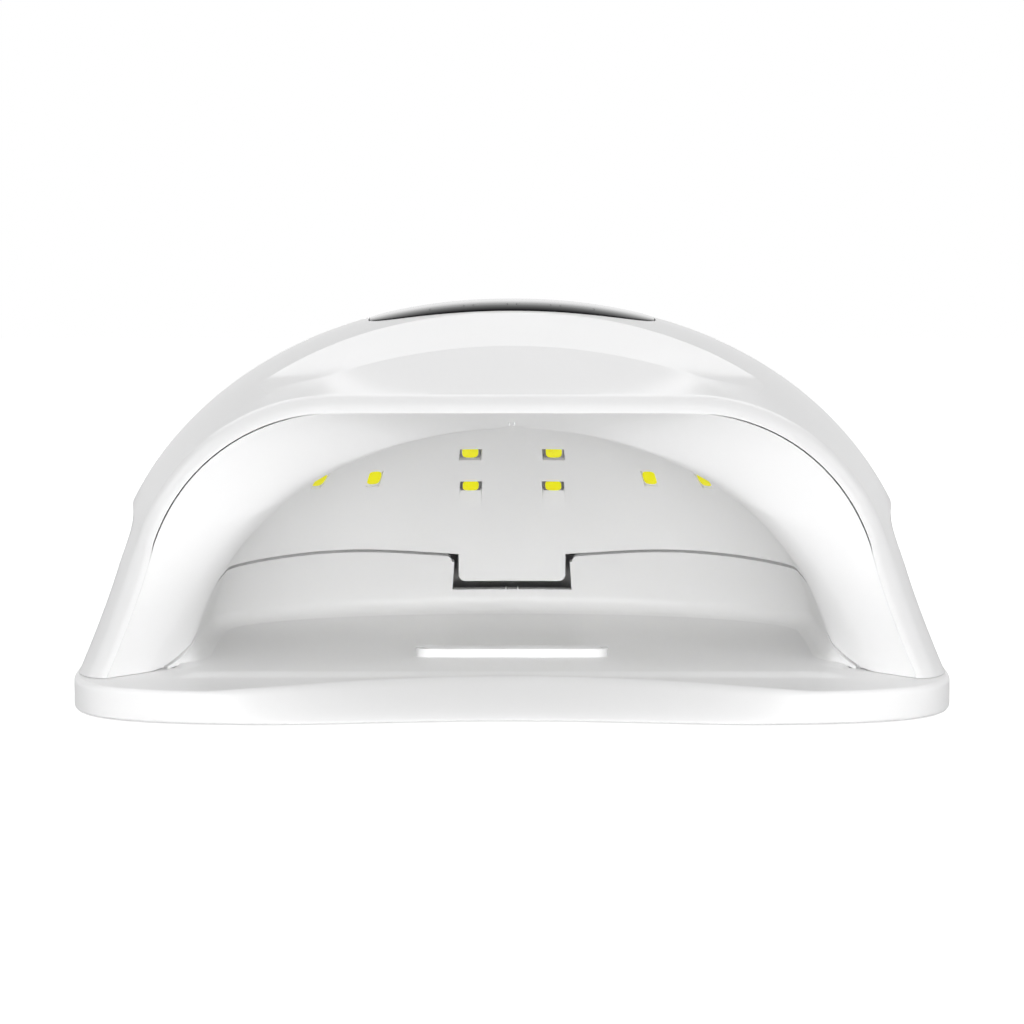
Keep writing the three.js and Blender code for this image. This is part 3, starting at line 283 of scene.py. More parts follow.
def footOutline(turns, inset=0):
    reach, power = reachAndPower(np.sin(turns) < 0, inset)
    across = np.abs(np.cos(turns) / (foot["halfWidth"] - inset)) ** power
    along = np.abs(np.sin(turns) / reach) ** power
    radius = (across + along) ** (-1 / power)
    return radius * np.cos(turns), foot["widestY"] + radius * np.sin(turns)


# Directions that divide the outline into even steps
def evenTurns(steps):
    fine = np.linspace(0, 2 * np.pi, foot["walkSteps"] + 1)
    x, y = footOutline(fine)
    walked = np.concatenate([[0], np.cumsum(np.hypot(np.diff(x), np.diff(y)))])
    return np.interp(np.linspace(0, walked[-1], steps + 1), walked, fine)


# Outer skin of the shell; down is 0 at the top, 1 at the grip edge, 2 at the foot

shell = {
    "foot": 8.6,
    "top": 103.05,
    "wall": 2.4,
    "inset": 1,
    "crownHalfWidth": 112.9,
    "domePower": 2.12,
    "ridgePower": 2.2,
    "gripShare": 0.433,
    "skirtReach": 13.8,
    "skirtPower": 1.3,
    "gripLedge": 11,
    "gripFadeStart": 20,
    "gripFadeEnd": 75,
    "frontDrop": 2,
    "frontDropReach": 45,
    "frontNarrowing": 9.9,
    "frontNarrowingPower": 1.56,
    "crownSteps": 64,
    "fadeSteps": 4,
    "skirtSteps": 34,
    "skirtCrowding": 1.25,
    "lipRows": 13,
    "browRows": 28,
    "frontRows": 16,
    "rearRows": 49,
}
arch = {
    "y": -78,
    "top": 76,
    "halfFlat": 45.1,
    "shoulderRadius": 48,
    "leanDegrees": 17.8,
    "lipInset": 6.4,
    "rollOut": 5.2,
    "rollDepth": 6.6,
    "rollStartDegrees": 30,
    "lipEndDegrees": 32,
}
facet = {
    "endShare": 0.515,
    "topY": -48,
    "topBow": 7,
    "frontY": -62,
    "frontBow": 3,
    "frontZ": 92.4,
    "frontRadius": 147,
    "widthShare": 0.773,
    "browSag": 0.9,
    "fadeShare": 0.04,
    "steerShare": 0.45,
}
rimHeight = 8.5
domeHeight = shell["top"] - shell["foot"]
gripAngle = math.acos(shell["gripShare"] ** (shell["domePower"] / 2))
skirtHeight = shell["gripShare"] * domeHeight + shell["foot"] - rimHeight
rearSkinY = rearEdgeY - shell["inset"]


def domeHalfWidth(y):
    y = np.asarray(y, float)
    front = shell["frontNarrowing"] * clamp01(y / arch["y"]) ** shell["frontNarrowingPower"]
    rear = shell["crownHalfWidth"] * halfWidthAt(y, shell["inset"]) / halfWidthAt(0, shell["inset"])
    return np.where(y < 0, shell["crownHalfWidth"] - front, rear)


def domeRise(y):
    y = np.asarray(y, float)
    front = shell["frontDrop"] * (np.maximum(-y, 0) / shell["frontDropReach"]) ** 3
    share = clamp01(y / rearSkinY)
    rear = domeHeight * (1 - share ** shell["ridgePower"]) ** (1 / shell["ridgePower"])
    return np.where(y < 0, domeHeight - front, rear)


def domePoint(down, y):
    angle = gripAngle * down
    x = domeHalfWidth(y) * np.sin(angle) ** (2 / shell["domePower"])
    return stack(x, y, shell["foot"] + domeRise(y) * np.cos(angle) ** (2 / shell["domePower"]))


def domeZ(x, y):
    share = clamp01(np.abs(x) / np.maximum(domeHalfWidth(y), 1))
    return shell["foot"] + domeRise(y) * (1 - share ** shell["domePower"]) ** (1 / shell["domePower"])


def skirtX(z, y):
    up = clamp01((z - rimHeight) / skirtHeight)
    fade = 1 - smoothStep(shell["gripFadeStart"], shell["gripFadeEnd"], y)
    return halfWidthAt(y, shell["inset"]) - shell["skirtReach"] * fade * (1 - (1 - up) ** shell["skirtPower"])


# Below the grip edge the side draws in to the skirt, then flares to the foot
def skirtPoint(down, edge, inset=0):
    z = mix(edge[2], shell["foot"], down - 1)
    step = edge[0] - (skirtX(edge[2], edge[1]) - inset)
    ledge = (1 - clamp01((edge[2] - z) / shell["gripLedge"])) ** 2
    x = skirtX(z, edge[1]) - inset + step * ledge
    return stack(np.maximum(0, x), edge[1], z)


# The arch is flat on top, round at the shoulders and leans at the sides
def archPoint(down, out, y):
    sweep = math.pi / 2 - math.radians(arch["leanDegrees"])
    crown = np.minimum(down, 1)
    reach = crown * (arch["halfFlat"] + arch["shoulderRadius"] * sweep)
    turn = np.maximum(0, reach - arch["halfFlat"]) / arch["shoulderRadius"]
    radius = arch["shoulderRadius"] + out
    x = np.minimum(reach, arch["halfFlat"]) + radius * np.sin(turn)
    points = stack(x, y, arch["top"] - arch["shoulderRadius"] + radius * np.cos(turn))
    low = down > 1
    if np.any(low):
        points[low] = skirtPoint(down[low], points[low][0], arch["lipInset"] - out)
    return points


def rollPoint(down, degrees):
    turn = math.radians(degrees)
    y = arch["y"] + arch["rollDepth"] * (1 - math.sin(turn))
    return archPoint(down, arch["rollOut"] * math.cos(turn), y)


def facetTopY(down):
    along = down / facet["endShare"]
    near = facet["topY"] - facet["topBow"] * np.minimum(along, 1) ** 2
    back = mix(facet["topY"] - facet["topBow"], facet["topY"], smoothStep(facet["endShare"], 1, down))
    return np.where(along <= 1, near, back)


def bezier(a, b, c, share):
    return a * (1 - share) ** 2 + b * 2 * share * (1 - share) + c * share ** 2


# Crisp crescent in the middle, which runs out into a smooth shoulder
def browCurve(down):
    start = rollPoint(down, arch["rollStartDegrees"])
    topY = facetTopY(down)
    end = domePoint(down, topY)
    tangent = end - domePoint(down, topY + shell["wall"])
    tangent /= np.linalg.norm(tangent, axis=-1, keepdims=True)
    steer = end + tangent * facet["steerShare"] * np.linalg.norm(end - start, axis=-1, keepdims=True)
    softLow, softHigh = (start + steer) / 2, (steer + end) / 2
    along = np.minimum(1, down / facet["endShare"])
    x = facet["widthShare"] * end[..., 0]
    edgeY = facet["frontY"] - facet["frontBow"] * along ** 2
    edge = stack(x, edgeY, facet["frontZ"] - x ** 2 / (2 * facet["frontRadius"]))
    sag = np.array([0, 1, -1]) * facet["browSag"] * math.sqrt(0.5)
    blend = smoothStep(facet["endShare"], facet["endShare"] + facet["fadeShare"], down)[..., None]
    low = mix((start + edge) / 2 + sag, softLow, blend)
    front = mix(edge, (softLow + softHigh) / 2, blend)
    high = mix((edge + end) / 2, softHigh, blend)
    return start, low, front, high, end


# Rows from the lip over the brow and the crown to the back, each with its kind; a brow row's is its share
def shellRows():
    rows = []
    for turn in np.linspace(90, arch["lipEndDegrees"], shell["lipRows"]):
        rows.append((lambda down, turn=turn: rollPoint(down, turn), "lip"))

    def browRow(down, share):
        start, low, front, high, end = browCurve(down)
        if share <= 1:
            return bezier(start, low, front, share)
        return bezier(front, high, end, share - 1)

    for share in np.linspace(0, 2, shell["browRows"] + 1)[:-1]:
        rows.append((lambda down, share=share: browRow(down, share), share))
    for share in np.linspace(1, 0, shell["frontRows"] + 1)[:-1]:
        rows.append((lambda down, share=share: domePoint(down, facetTopY(down) * share), "dome"))
    for turn in np.linspace(0, np.pi / 2, shell["rearRows"]):
        rows.append((lambda down, turn=turn: domePoint(down, rearSkinY * math.sin(turn)), "dome"))
    return rows


def shellGrid():
    fadeEnd = facet["endShare"] + facet["fadeShare"]
    half = shell["crownSteps"] // 2
    crown = np.concatenate([np.linspace(0, facet["endShare"], half + 1),
                            np.linspace(facet["endShare"], fadeEnd, shell["fadeSteps"] + 1)[1:],
                            np.linspace(fadeEnd, 1, half + 1 - shell["fadeSteps"])[1:]])
    skirt = 1 + np.linspace(0, 1, shell["skirtSteps"] + 1)[1:] ** shell["skirtCrowding"]
    lines = []
    lastInset = arch["lipInset"] - arch["rollOut"] * math.cos(math.radians(arch["rollStartDegrees"]))
    for row, kind in shellRows():
        if kind == "lip":
            right = row(np.concatenate([crown, skirt]))
        else:
            right = row(crown)
            inset = 0 if kind == "dome" else lastInset * clamp01(1 - kind) ** 3
            right = np.concatenate([right, skirtPoint(skirt, right[-1], inset)])
        left = right[:0:-1] * [-1, 1, 1]
        lines.append(np.concatenate([left, right]))
    return np.array(lines)


# The same grid moved inwards along its own normals, its foot kept level
def insetGrid(grid, depth):
    padded = np.pad(grid, ((1, 1), (1, 1), (0, 0)), mode="edge")
    back = padded[2:, 1:-1] - padded[:-2, 1:-1]
    down = padded[1:-1, 2:] - padded[1:-1, :-2]
    normal = np.cross(back, down)
    length = np.linalg.norm(normal, axis=-1, keepdims=True)
    normal = np.where(length > tiny, normal / np.maximum(length, tiny), [0, -1, 0])
    normal[0] = [0, 1, 0]
    inner = grid + normal * depth
    inner[:, [0, -1], 2] = shell["foot"]
    return inner


# Panel on top of the dome

panel = {
    "halfWidth": 38.3,
    "halfDepth": 28,
    "y": -17,
    "power": 3,
    "proud": 0.24,
    "thickness": 1.6,
    "ledge": 2,
    "gap": 0.35,
    "seatGap": 0.3,
    "cutHigh": 2,
    "ease": 0.12,
    "easeSteps": 4,
    "steps": 160,
    "rings": 18,
}


def panelPoint(turn, share, grow, depth):
    across = np.abs(np.cos(turn) / (panel["halfWidth"] + grow)) ** panel["power"]
    along = np.abs(np.sin(turn) / (panel["halfDepth"] + grow)) ** panel["power"]
    radius = share * (across + along) ** (-1 / panel["power"])
    x = radius * np.cos(turn)
    y = panel["y"] + radius * np.sin(turn)
    return stack(x, y, domeZ(x, y) + depth)


def panelPlate(grow, low, high, ease=0):
    turn = np.linspace(0, 2 * np.pi, panel["steps"] + 1)
    shares = np.linspace(0, 1, panel["rings"] + 1)
    rows = [panelPoint(turn, share, grow - ease, high) for share in shares]
    if ease:
        for corner in np.linspace(0, np.pi / 2, panel["easeSteps"] + 1)[1:]:
            out, down = ease * (1 - math.sin(corner)), ease * (1 - math.cos(corner))
            rows.append(panelPoint(turn, 1, grow - out, high - down))
    rows += [panelPoint(turn, share, grow, low) for share in shares[::-1]]
    return closedSkin(np.array(rows))


# Hand space inside the liner

cavity = {
    "halfWidth": 86,
    "top": 74,
    "turnY": 14,
    "rearReach": 48.6,
    "mouthY": -58,
    "mouthHalfWidth": 85,
    "mouthTop": 70.9,
    "taperEndY": -12,
    "footSpread": 5,
    "seamRearZ": 26,
    "seamSideRise": 2.8,
    "seamWave": 100,
    "seamFrontPower": 2.2,
    "seamGap": 0.45,
    "seamStartAngle": 1.2,
    "seamRounds": 12,
    "wallRounds": 8,
    "floorZ": 9.5,
    "footSpreadReach": 12,
    "footSpreadRise": 26,
}
turnStation = 0.5


def pastMouth(y):
    return clamp01((y - cavity["mouthY"]) / (cavity["taperEndY"] - cavity["mouthY"]))


def cavityHeightAt(y):
    return mix(cavity["mouthTop"], cavity["top"], pastMouth(y))


def cavityHalfWidthAt(y):
    return mix(cavity["mouthHalfWidth"], cavity["halfWidth"], pastMouth(y))


def seamZ(x, y):
    hump = cavity["seamSideRise"] * np.sin(np.pi * clamp01(np.abs(x) / cavity["seamWave"])) ** 2
    front = clamp01(y / cavity["mouthY"])
    return mix(cavity["seamRearZ"] + hump, cavity["floorZ"], front ** cavity["seamFrontPower"])


# The foot of the hand space widens towards the mouth
def footSpread(y, z):
    ahead = clamp01(1 - (y - cavity["mouthY"]) / cavity["footSpreadReach"]) ** 2
    return cavity["footSpread"] * ahead * clamp01(1 - (z - cavity["floorZ"]) / cavity["footSpreadRise"]) ** 2


# Place on the front part of the vault; angle is measured from straight up
def vaultFront(angle, y):
    z = cavityHeightAt(y) * np.cos(angle)
    x = cavityHalfWidthAt(y) * np.sin(angle)
    return stack(x + footSpread(y, z) * np.sin(angle), y, z)


def vaultRear(angle, heading):
    level = np.sin(angle)
    x = cavity["halfWidth"] * level * np.sin(heading)
    y = cavity["turnY"] + cavity["rearReach"] * level * np.cos(heading)
    return stack(x, y, cavity["top"] * np.cos(angle))


# The seam's height depends on the place, so its angle is found in a few rounds
def seamAngle(place, height):
    angle = cavity["seamStartAngle"]
    for _ in range(cavity["seamRounds"]):
        point = place(angle)
        angle = np.arccos(clamp01((seamZ(point[..., 0], point[..., 1]) + cavity["seamGap"]) / height))
    return angle


# Rear wall of the hand space at a given place across and up
def cavityY(x, z):
    across, up = x / cavity["halfWidth"], z / cavity["top"]
    return cavity["turnY"] + cavity["rearReach"] * np.sqrt(np.maximum(0, 1 - across ** 2 - up ** 2))


# Level cut through the hand space: stations run from -1 at the left of the mouth, round the back, to 1
def wallAround(station, z, offset=0):
    side = np.sign(station)
    heading = np.clip(station / turnStation, -1, 1) * np.pi / 2
    y = mix(cavity["turnY"], cavity["mouthY"], clamp01(np.abs(station) / turnStation - 1))
    level = np.sqrt(1 - (z / (cavity["top"] + offset)) ** 2)
    levelFront = np.sqrt(1 - (z / (cavityHeightAt(y) + offset)) ** 2)
    rear = np.abs(station) <= turnStation
    x = np.where(rear, (cavity["halfWidth"] + offset) * level * np.sin(heading),
                 side * ((cavityHalfWidthAt(y) + offset) * levelFront + footSpread(y, z)))
    y = np.where(rear, cavity["turnY"] + (cavity["rearReach"] + offset) * level * np.cos(heading), y)
    return stack(x, y, z)


def seamAround(station, above, offset=0):
    z = np.full(np.shape(station), float(cavity["seamRearZ"]))
    for _ in range(cavity["wallRounds"]):
        place = wallAround(station, z, offset)
        z = seamZ(place[..., 0], place[..., 1]) + above
    return z


# Turned frame on the vault: X level, Y up the wall, Z outwards
def wallFrame(place):
    back = max(0, place[1] - cavity["turnY"])
    reaches = (cavity["halfWidth"], cavity["rearReach"], cavity["top"])
    out = Vector([part / reach ** 2 for part, reach in zip((place[0], back, place[2]), reaches)])
    out.normalize()
    level = Vector((0, 0, 1)).cross(out)
    if level.length < tiny:
        level = Vector((1, 0, 0))
    level.normalize()
    return frameAt(place, level, out.cross(level), out)


# Shader maths on sockets


class Flow:
    def __init__(self, tree, socket):
        self.tree = tree
        self.socket = socket

    def node(self, kind, settings, inputs, output=0):
        made = self.tree.nodes.new(kind)
        for key, value in settings.items():
            setattr(made, key, value)
        for key, value in inputs.items():
            if isinstance(value, Flow):
                self.tree.links.new(value.socket, made.inputs[key])
            else:
                made.inputs[key].default_value = value
        return Flow(self.tree, made.outputs[output])

    def maths(self, operation, first, second):
        return self.node("ShaderNodeMath", {"operation": operation}, {0: first, 1: second})

    def __add__(self, other):
        return self.maths("ADD", self, other)

    def __radd__(self, other):
        return self.maths("ADD", other, self)

    def __rsub__(self, other):
        return self.maths("SUBTRACT", other, self)

    def __mul__(self, other):
        return self.maths("MULTIPLY", self, other)

    def noise(self, scale, detail=3, roughness=0.5):
        return self.node("ShaderNodeTexNoise", {}, {"Vector": self, "Scale": scale, "Detail": detail,
                                                    "Roughness": roughness})

    def between(self, low, high):
        return self.node("ShaderNodeMapRange", {"interpolation_type": "SMOOTHSTEP"},
                         {"Value": self, "From Min": low, "From Max": high})

    def blend(self, first, second):
        return self.node("ShaderNodeMix", {"data_type": "RGBA"}, {0: self, 6: first, 7: second}, 2)

    def part(self, index):
        return self.node("ShaderNodeSeparateXYZ", {}, {0: self}, index)

    def bump(self, strength, distance):
        return self.node("ShaderNodeBump", {}, {"Height": self, "Strength": strength, "Distance": distance})


def newFinish(name, **sockets):
    finish = bpy.data.materials.new(name)
    finish.use_nodes = True
    tree = finish.node_tree
    shader = tree.nodes["Principled BSDF"]
    for key, value in sockets.items():
        shader.inputs[key.replace("_", " ")].default_value = value
    place = tree.nodes.new("ShaderNodeTexCoord")
    return finish, shader, Flow(tree, place.outputs["Object"])


def feed(shader, **sockets):
    for key, flow in sockets.items():
        flow.tree.links.new(flow.socket, shader.inputs[key.replace("_", " ")])


def shade(colour, factor):
    return tuple(min(1, channel * factor) for channel in colour) + (1,)


def stretched(place, scale):
    return place.node("ShaderNodeMapping", {}, {"Vector": place, "Scale": scale})


# Moulded plastic: a faint cloudiness in the colour, a fine skin, a few light scuffs
whiteLook = {
    "colour": (0.78, 0.78, 0.782),
    "ior": 1.46,
    "coat": 0.1,
    "coatRoughness": 0.15,
    "roughness": 0.3,
    "cloudScale": 14,
    "cloudSpan": (0.3, 0.7),
    "cloudShare": 0.006,
    "grainScale": 900,
    "grainShare": 0.06,
    "scuffScale": 60,
    "scuffSpan": (0.62, 0.8),
    "scuffShare": 0.04,
    "scuffShade": 0.9,
    "scuffRelief": 0.2,
    "bump": 0.03,
    "bumpDepth": 0.0002,
}
fineRelief = 0.0001


def plasticFinish(name, **changes):
    look = {**whiteLook, **changes}
    finish, shader, place = newFinish(name, IOR=look["ior"], Coat_Weight=look["coat"],
                                      Coat_Roughness=look["coatRoughness"])
    cloud = place.noise(look["cloudScale"], 2)
    grain = place.noise(look["grainScale"], 2)
    scuff = place.noise(look["scuffScale"], 6, 0.7).between(*look["scuffSpan"])
    tone = cloud.between(*look["cloudSpan"]).blend(shade(look["colour"], 1 - look["cloudShare"]),
                                                   shade(look["colour"], 1 + look["cloudShare"]))
    scuffed = (scuff * look["scuffShare"]).blend(tone, shade(look["colour"], look["scuffShade"]))
    feed(shader, Base_Color=scuffed,
         Roughness=look["roughness"] + grain * look["grainShare"] + scuff * look["scuffShare"],
         Normal=(grain + scuff * look["scuffRelief"]).bump(look["bump"], look["bumpDepth"]))
    return finish


whiteGloss = plasticFinish("white gloss plastic")
linerGloss = plasticFinish("white liner plastic", colour=(0.95, 0.95, 0.951), roughness=0.4)
trayGloss = plasticFinish("white tray plastic", colour=(0.91, 0.91, 0.911), roughness=0.36)
ribWhite = plasticFinish("white moulded ribs", colour=(0.93, 0.93, 0.93))
whiteSatin = plasticFinish("white satin plastic", colour=(0.79, 0.79, 0.785), roughness=0.42, coat=0,
                           grainScale=500, bump=0.12)
blackPlastic = plasticFinish("black plastic", colour=(0.02, 0.02, 0.022), roughness=0.4, coat=0,
                             cloudShare=0.2, grainScale=600, bump=0.15)


# Tinted window: near black under a clear coat that is thickest towards the crest
def glassFinish():
    look = {
        "colour": (0.006, 0.006, 0.007),
        "roughness": 0.3,
        "smear": 0.08,
        "smearScale": (18, 60, 18),
        "smearSpan": (0.45, 0.75),
        "dustColour": (0.05, 0.05, 0.055),
        "dustScale": 1500,
        "dustSpan": (0.68, 0.8),
        "coatLow": 0.04,
        "coatCrest": 1,
        "front": (-0.047, -0.018),
        "rear": (0.014, -0.004),
    }
    finish, shader, place = newFinish("black panel glass", Specular_IOR_Level=0, Coat_Roughness=0.06)
    rise = place.part(1).between(*look["front"]) * place.part(1).between(*look["rear"])
    smear = stretched(place, look["smearScale"]).noise(1, 4).between(*look["smearSpan"])
    dust = place.noise(look["dustScale"], 2).between(*look["dustSpan"])
    feed(shader, Base_Color=dust.blend(shade(look["colour"], 1), shade(look["dustColour"], 1)),
         Roughness=look["roughness"] + smear * look["smear"],
         Coat_Weight=look["coatLow"] + rise * (look["coatCrest"] - look["coatLow"]))
    return finish


# The phosphor's emission is a painted glow: the unlit beads give off a faint light of their own, which makes
# them brighter than the lamps alone light them.
def phosphorFinish():
    look = {
        "dark": (0.78, 0.72, 0.006, 1),
        "light": (0.93, 0.9, 0.012, 1),
        "glow": 0.27,
        "grainScale": 2600,
        "grainSpan": (0.35, 0.65),
        "bump": 0.12,
    }
    finish, shader, place = newFinish("yellow phosphor", Roughness=0.45, IOR=1.42,
                                      Emission_Strength=look["glow"])
    grains = place.noise(look["grainScale"], 3)
    tone = grains.between(*look["grainSpan"]).blend(look["dark"], look["light"])
    feed(shader, Base_Color=tone, Emission_Color=tone, Normal=grains.bump(look["bump"], fineRelief))
    return finish


# Metal with brushed streaks and a faint stain
def metalFinish(name, colour, roughness, stretch):
    look = {"streak": 0.18, "stainScale": 90, "stainSpan": (0.45, 0.75), "stainShade": 0.8, "bump": 0.1}
    finish, shader, place = newFinish(name, Metallic=1)
    brushed = stretched(place, stretch).noise(1, 5)
    stain = place.noise(look["stainScale"], 3).between(*look["stainSpan"])
    feed(shader, Base_Color=stain.blend(shade(colour, 1), shade(colour, look["stainShade"])),
         Roughness=roughness + brushed * look["streak"], Normal=brushed.bump(look["bump"], fineRelief))
    return finish


def rubberFinish():
    look = {
        "fresh": (0.022, 0.022, 0.024, 1),
        "worn": (0.06, 0.058, 0.055, 1),
        "wearScale": 140,
        "wearSpan": (0.5, 0.75),
        "grainScale": 1100,
        "roughness": 0.75,
        "grainShare": 0.15,
        "bump": 0.35,
    }
    finish, shader, place = newFinish("foot rubber", IOR=1.5)
    grain = place.noise(look["grainScale"], 4)
    wear = place.noise(look["wearScale"], 4).between(*look["wearSpan"])
    feed(shader, Base_Color=wear.blend(look["fresh"], look["worn"]),
         Roughness=look["roughness"] + grain * look["grainShare"],
         Normal=grain.bump(look["bump"], 2 * fineRelief))
    return finish


# Circuit board: solder mask with copper runs under it and tinned pads in rows
def boardFinish(name, mask, run):
    look = {
        "runs": {"Scale": 60, "Mortar Size": 0.035, "Brick Width": 0.5, "Row Height": 0.16},
        "runOffset": 0.35,
        "pads": {"Scale": 260, "Randomness": 0.25},
        "padSpan": (0.22, 0.16),
        "padShare": 0.85,
        "padColour": (0.62, 0.6, 0.5, 1),
        "padGloss": 0.15,
        "weaveScale": 1300,
        "weaveRelief": 0.3,
        "weaveShare": 0.1,
        "roughness": 0.45,
        "bump": 0.15,
    }
    finish, shader, place = newFinish(name, IOR=1.5)
    bricks = {"Vector": place, **look["runs"]}
    cells = place.node("ShaderNodeTexBrick", {"offset": look["runOffset"]}, bricks, 1)
    pads = place.node("ShaderNodeTexVoronoi", {}, {"Vector": place, **look["pads"]}, 0)
    dots = pads.between(*look["padSpan"])
    weave = place.noise(look["weaveScale"], 2)
    runs = cells.blend((*mask, 1), (*run, 1))
    feed(shader, Base_Color=(dots * look["padShare"]).blend(runs, look["padColour"]),
         Roughness=look["roughness"] - dots * look["padGloss"] + weave * look["weaveShare"],
         Normal=(weave * look["weaveRelief"] + cells + dots).bump(look["bump"], fineRelief))
    return finish


def wireFinish():
    look = {
        "dark": (0.3, 0.012, 0.012, 1),
        "light": (0.38, 0.02, 0.018, 1),
        "grainScale": 700,
        "grainSpan": (0.3, 0.7),
        "roughness": 0.35,
        "grainShare": 0.15,
        "bump": 0.1,
    }
    finish, shader, place = newFinish("red lead jacket", IOR=1.48)
    grain = place.noise(look["grainScale"], 3)
    feed(shader, Base_Color=grain.between(*look["grainSpan"]).blend(look["dark"], look["light"]),
         Roughness=look["roughness"] + grain * look["grainShare"],
         Normal=grain.bump(look["bump"], fineRelief))
    return finish


blackGlass = glassFinish()
phosphor = phosphorFinish()
steel = metalFinish("zinc plated steel", (0.62, 0.62, 0.64), 0.2, (900, 900, 60))
tinned = metalFinish("tinned pads", (0.3, 0.3, 0.31), 0.35, (700, 700, 700))
rubber = rubberFinish()
greenBoard = boardFinish("green circuit board", (0.012, 0.07, 0.026), (0.03, 0.14, 0.05))
whiteBoard = boardFinish("white light board", (0.7, 0.7, 0.68), (0.6, 0.6, 0.58))
redLead = wireFinish()
print("finishes made")

# Outer shell with the opening for the panel and the hole for the power inlet

jack = {
    "z": 24,
    "radius": 5.5,
    "bore": 3.2,
    "boreDepth": 9,
    "length": 14,
    "gap": 0.3,
    "holeDepth": 20,
    "overrun": 4,
    "pin": 1,
    "pinRecess": 2,
    "ease": 0.3,
    "facets": 64,
}


def buildShell():
    skin = shellGrid()
    piece = thickSheet(skin, insetGrid(skin, shell["wall"]))
    seat = panel["proud"] - panel["thickness"] - panel["seatGap"]
    cutAway(piece, panelPlate(panel["gap"], seat, panel["cutHigh"]))
    cutAway(piece, panelPlate(-panel["ledge"], -2 * shell["wall"], panel["cutHigh"]))
    place = (0, rearEdgeY, jack["z"])
    radius = jack["radius"] + jack["gap"]
    cutAway(piece, roundBar(radius, -jack["holeDepth"], jack["overrun"], place, "Y", jack["facets"]))
    mountPiece(piece, "shellSkin", "housing", [whiteGloss], ["outer_shell"], 9)


buildShell()
print("shell built")

# Reflector liner: flared band, vault with light windows, skirt and flange

liner = {
    "wall": 2,
    "edgeShare": 0.12,
    "edgeReach": 4,
    "flareGap": 0.4,
    "flareGapClose": 0.1,
    "flareGapOpens": (0.35, 0.6),
    "flareGapCloses": (0.92, 1.15),
    "flareGapReach": 20,
    "flareBulge": 0.3,
    "flareSteps": 14,
    "columns": 64,
    "roundingSteps": 8,
    "sideSteps": 14,
    "mouthRound": 7,
    "mouthRoundTop": 1.2,
    "mouthRoundSpan": (0.25, 0.6),
    "tongueHalfWidth": 15.7,
    "tongueBottom": 18.9,
    "tongueCorner": 1.9,
    "tongueColumns": 37,
    "tongueRows": 9,
    "rearColumns": 30,
    "weld": 0.01,
    "step": 3,
    "shoulder": 3,
    "skirtWall": 2,
    "skirtRows": 9,
    "skirtRearSteps": 40,
    "skirtFrontSteps": 25,
    "lipDrop": 0.4,
    "lipWall": 0.8,
    "lipReaches": ((2, 1.6), (4, 4)),
    "flangeInset": 5.8,
    "flange": 2,
    "flangeSteps": 161,
    "flangeRows": 5,
    "throatSteps": 6,
    "throatShares": (1, 0.36),
    "throatRoom": 1.5,
    "notchView": 21,
    "dimpleSize": (3.3, 11, 1.1),
    "dimpleBack": 2,
    "dimpleDrop": 0.1,
}


def flarePoint(down, share):
    opened = smoothStep(*liner["flareGapOpens"], down) * (1 - smoothStep(*liner["flareGapCloses"], down))
    gap = mix(liner["flareGapClose"], liner["flareGap"], opened)
    outer = archPoint(down, 0, arch["y"] + liner["flareGap"])
    outer[..., 0] -= gap * clamp01(outer[..., 0] / liner["flareGapReach"])
    outer[..., 2] -= gap * clamp01(2 - 2 * down)
    angle = down / 2 * math.acos(shell["foot"] / cavity["mouthTop"])
    x = cavity["mouthHalfWidth"] * np.sin(angle) + cavity["footSpread"] * clamp01(down - 1) ** 3
    inner = stack(x, cavity["mouthY"], cavity["mouthTop"] * np.cos(angle))
    points = mix(outer, inner, share[..., None])
    points[..., 0] = mix(outer[..., 0], x, mix(share, np.sin(np.pi / 2 * share), liner["flareBulge"]))
    points[..., 2] = np.maximum(shell["foot"], points[..., 2])
    return points


def vaultSide(t, y):
    return vaultFront(t * seamAngle(lambda angle: vaultFront(angle, y), cavityHeightAt(y)), y)


def linerFrontGrid():
    t = np.linspace(0, 1, liner["columns"] + 1)
    down = 2 * t
    length = cavity["mouthY"] - arch["y"]
    rounding = mix(liner["mouthRoundTop"], liner["mouthRound"], smoothStep(*liner["mouthRoundSpan"], t))
    rows = []
    for share in np.linspace(0, 1, liner["flareSteps"] + 1):
        rows.append(flarePoint(down, share * (1 - rounding / length)))
    before, corner = rows[-1], flarePoint(down, np.ones_like(t))
    after = vaultSide(t, cavity["mouthY"] + rounding)
    for share in np.linspace(0, 1, liner["roundingSteps"] + 1)[1:]:
        rows.append(bezier(before, corner, after, share))
    for share in np.linspace(0, 1, liner["sideSteps"] + 1)[1:]:
        rows.append(vaultSide(t, mix(cavity["mouthY"] + rounding, float(cavity["turnY"]), share)))
    right = np.array(rows)
    left = right[:, :0:-1] * [-1, 1, 1]
    return np.concatenate([left, right], axis=1)


def linerHeadings():
    tongueX = liner["tongueHalfWidth"] * np.sin(np.linspace(-1, 1, liner["tongueColumns"]) * np.pi / 2)
    middle = []
    for x in tongueX:
        heading = math.asin(x / cavity["halfWidth"])
        for _ in range(cavity["seamRounds"]):
            angle = seamAngle(lambda angle: vaultRear(angle, heading), cavity["top"])
            heading = math.asin(x / (cavity["halfWidth"] * math.sin(angle)))
        middle.append(heading)
    outer = np.linspace(middle[-1], np.pi / 2, liner["rearColumns"] + 1)[1:]
    return np.concatenate([-outer[::-1], middle, outer]), tongueX


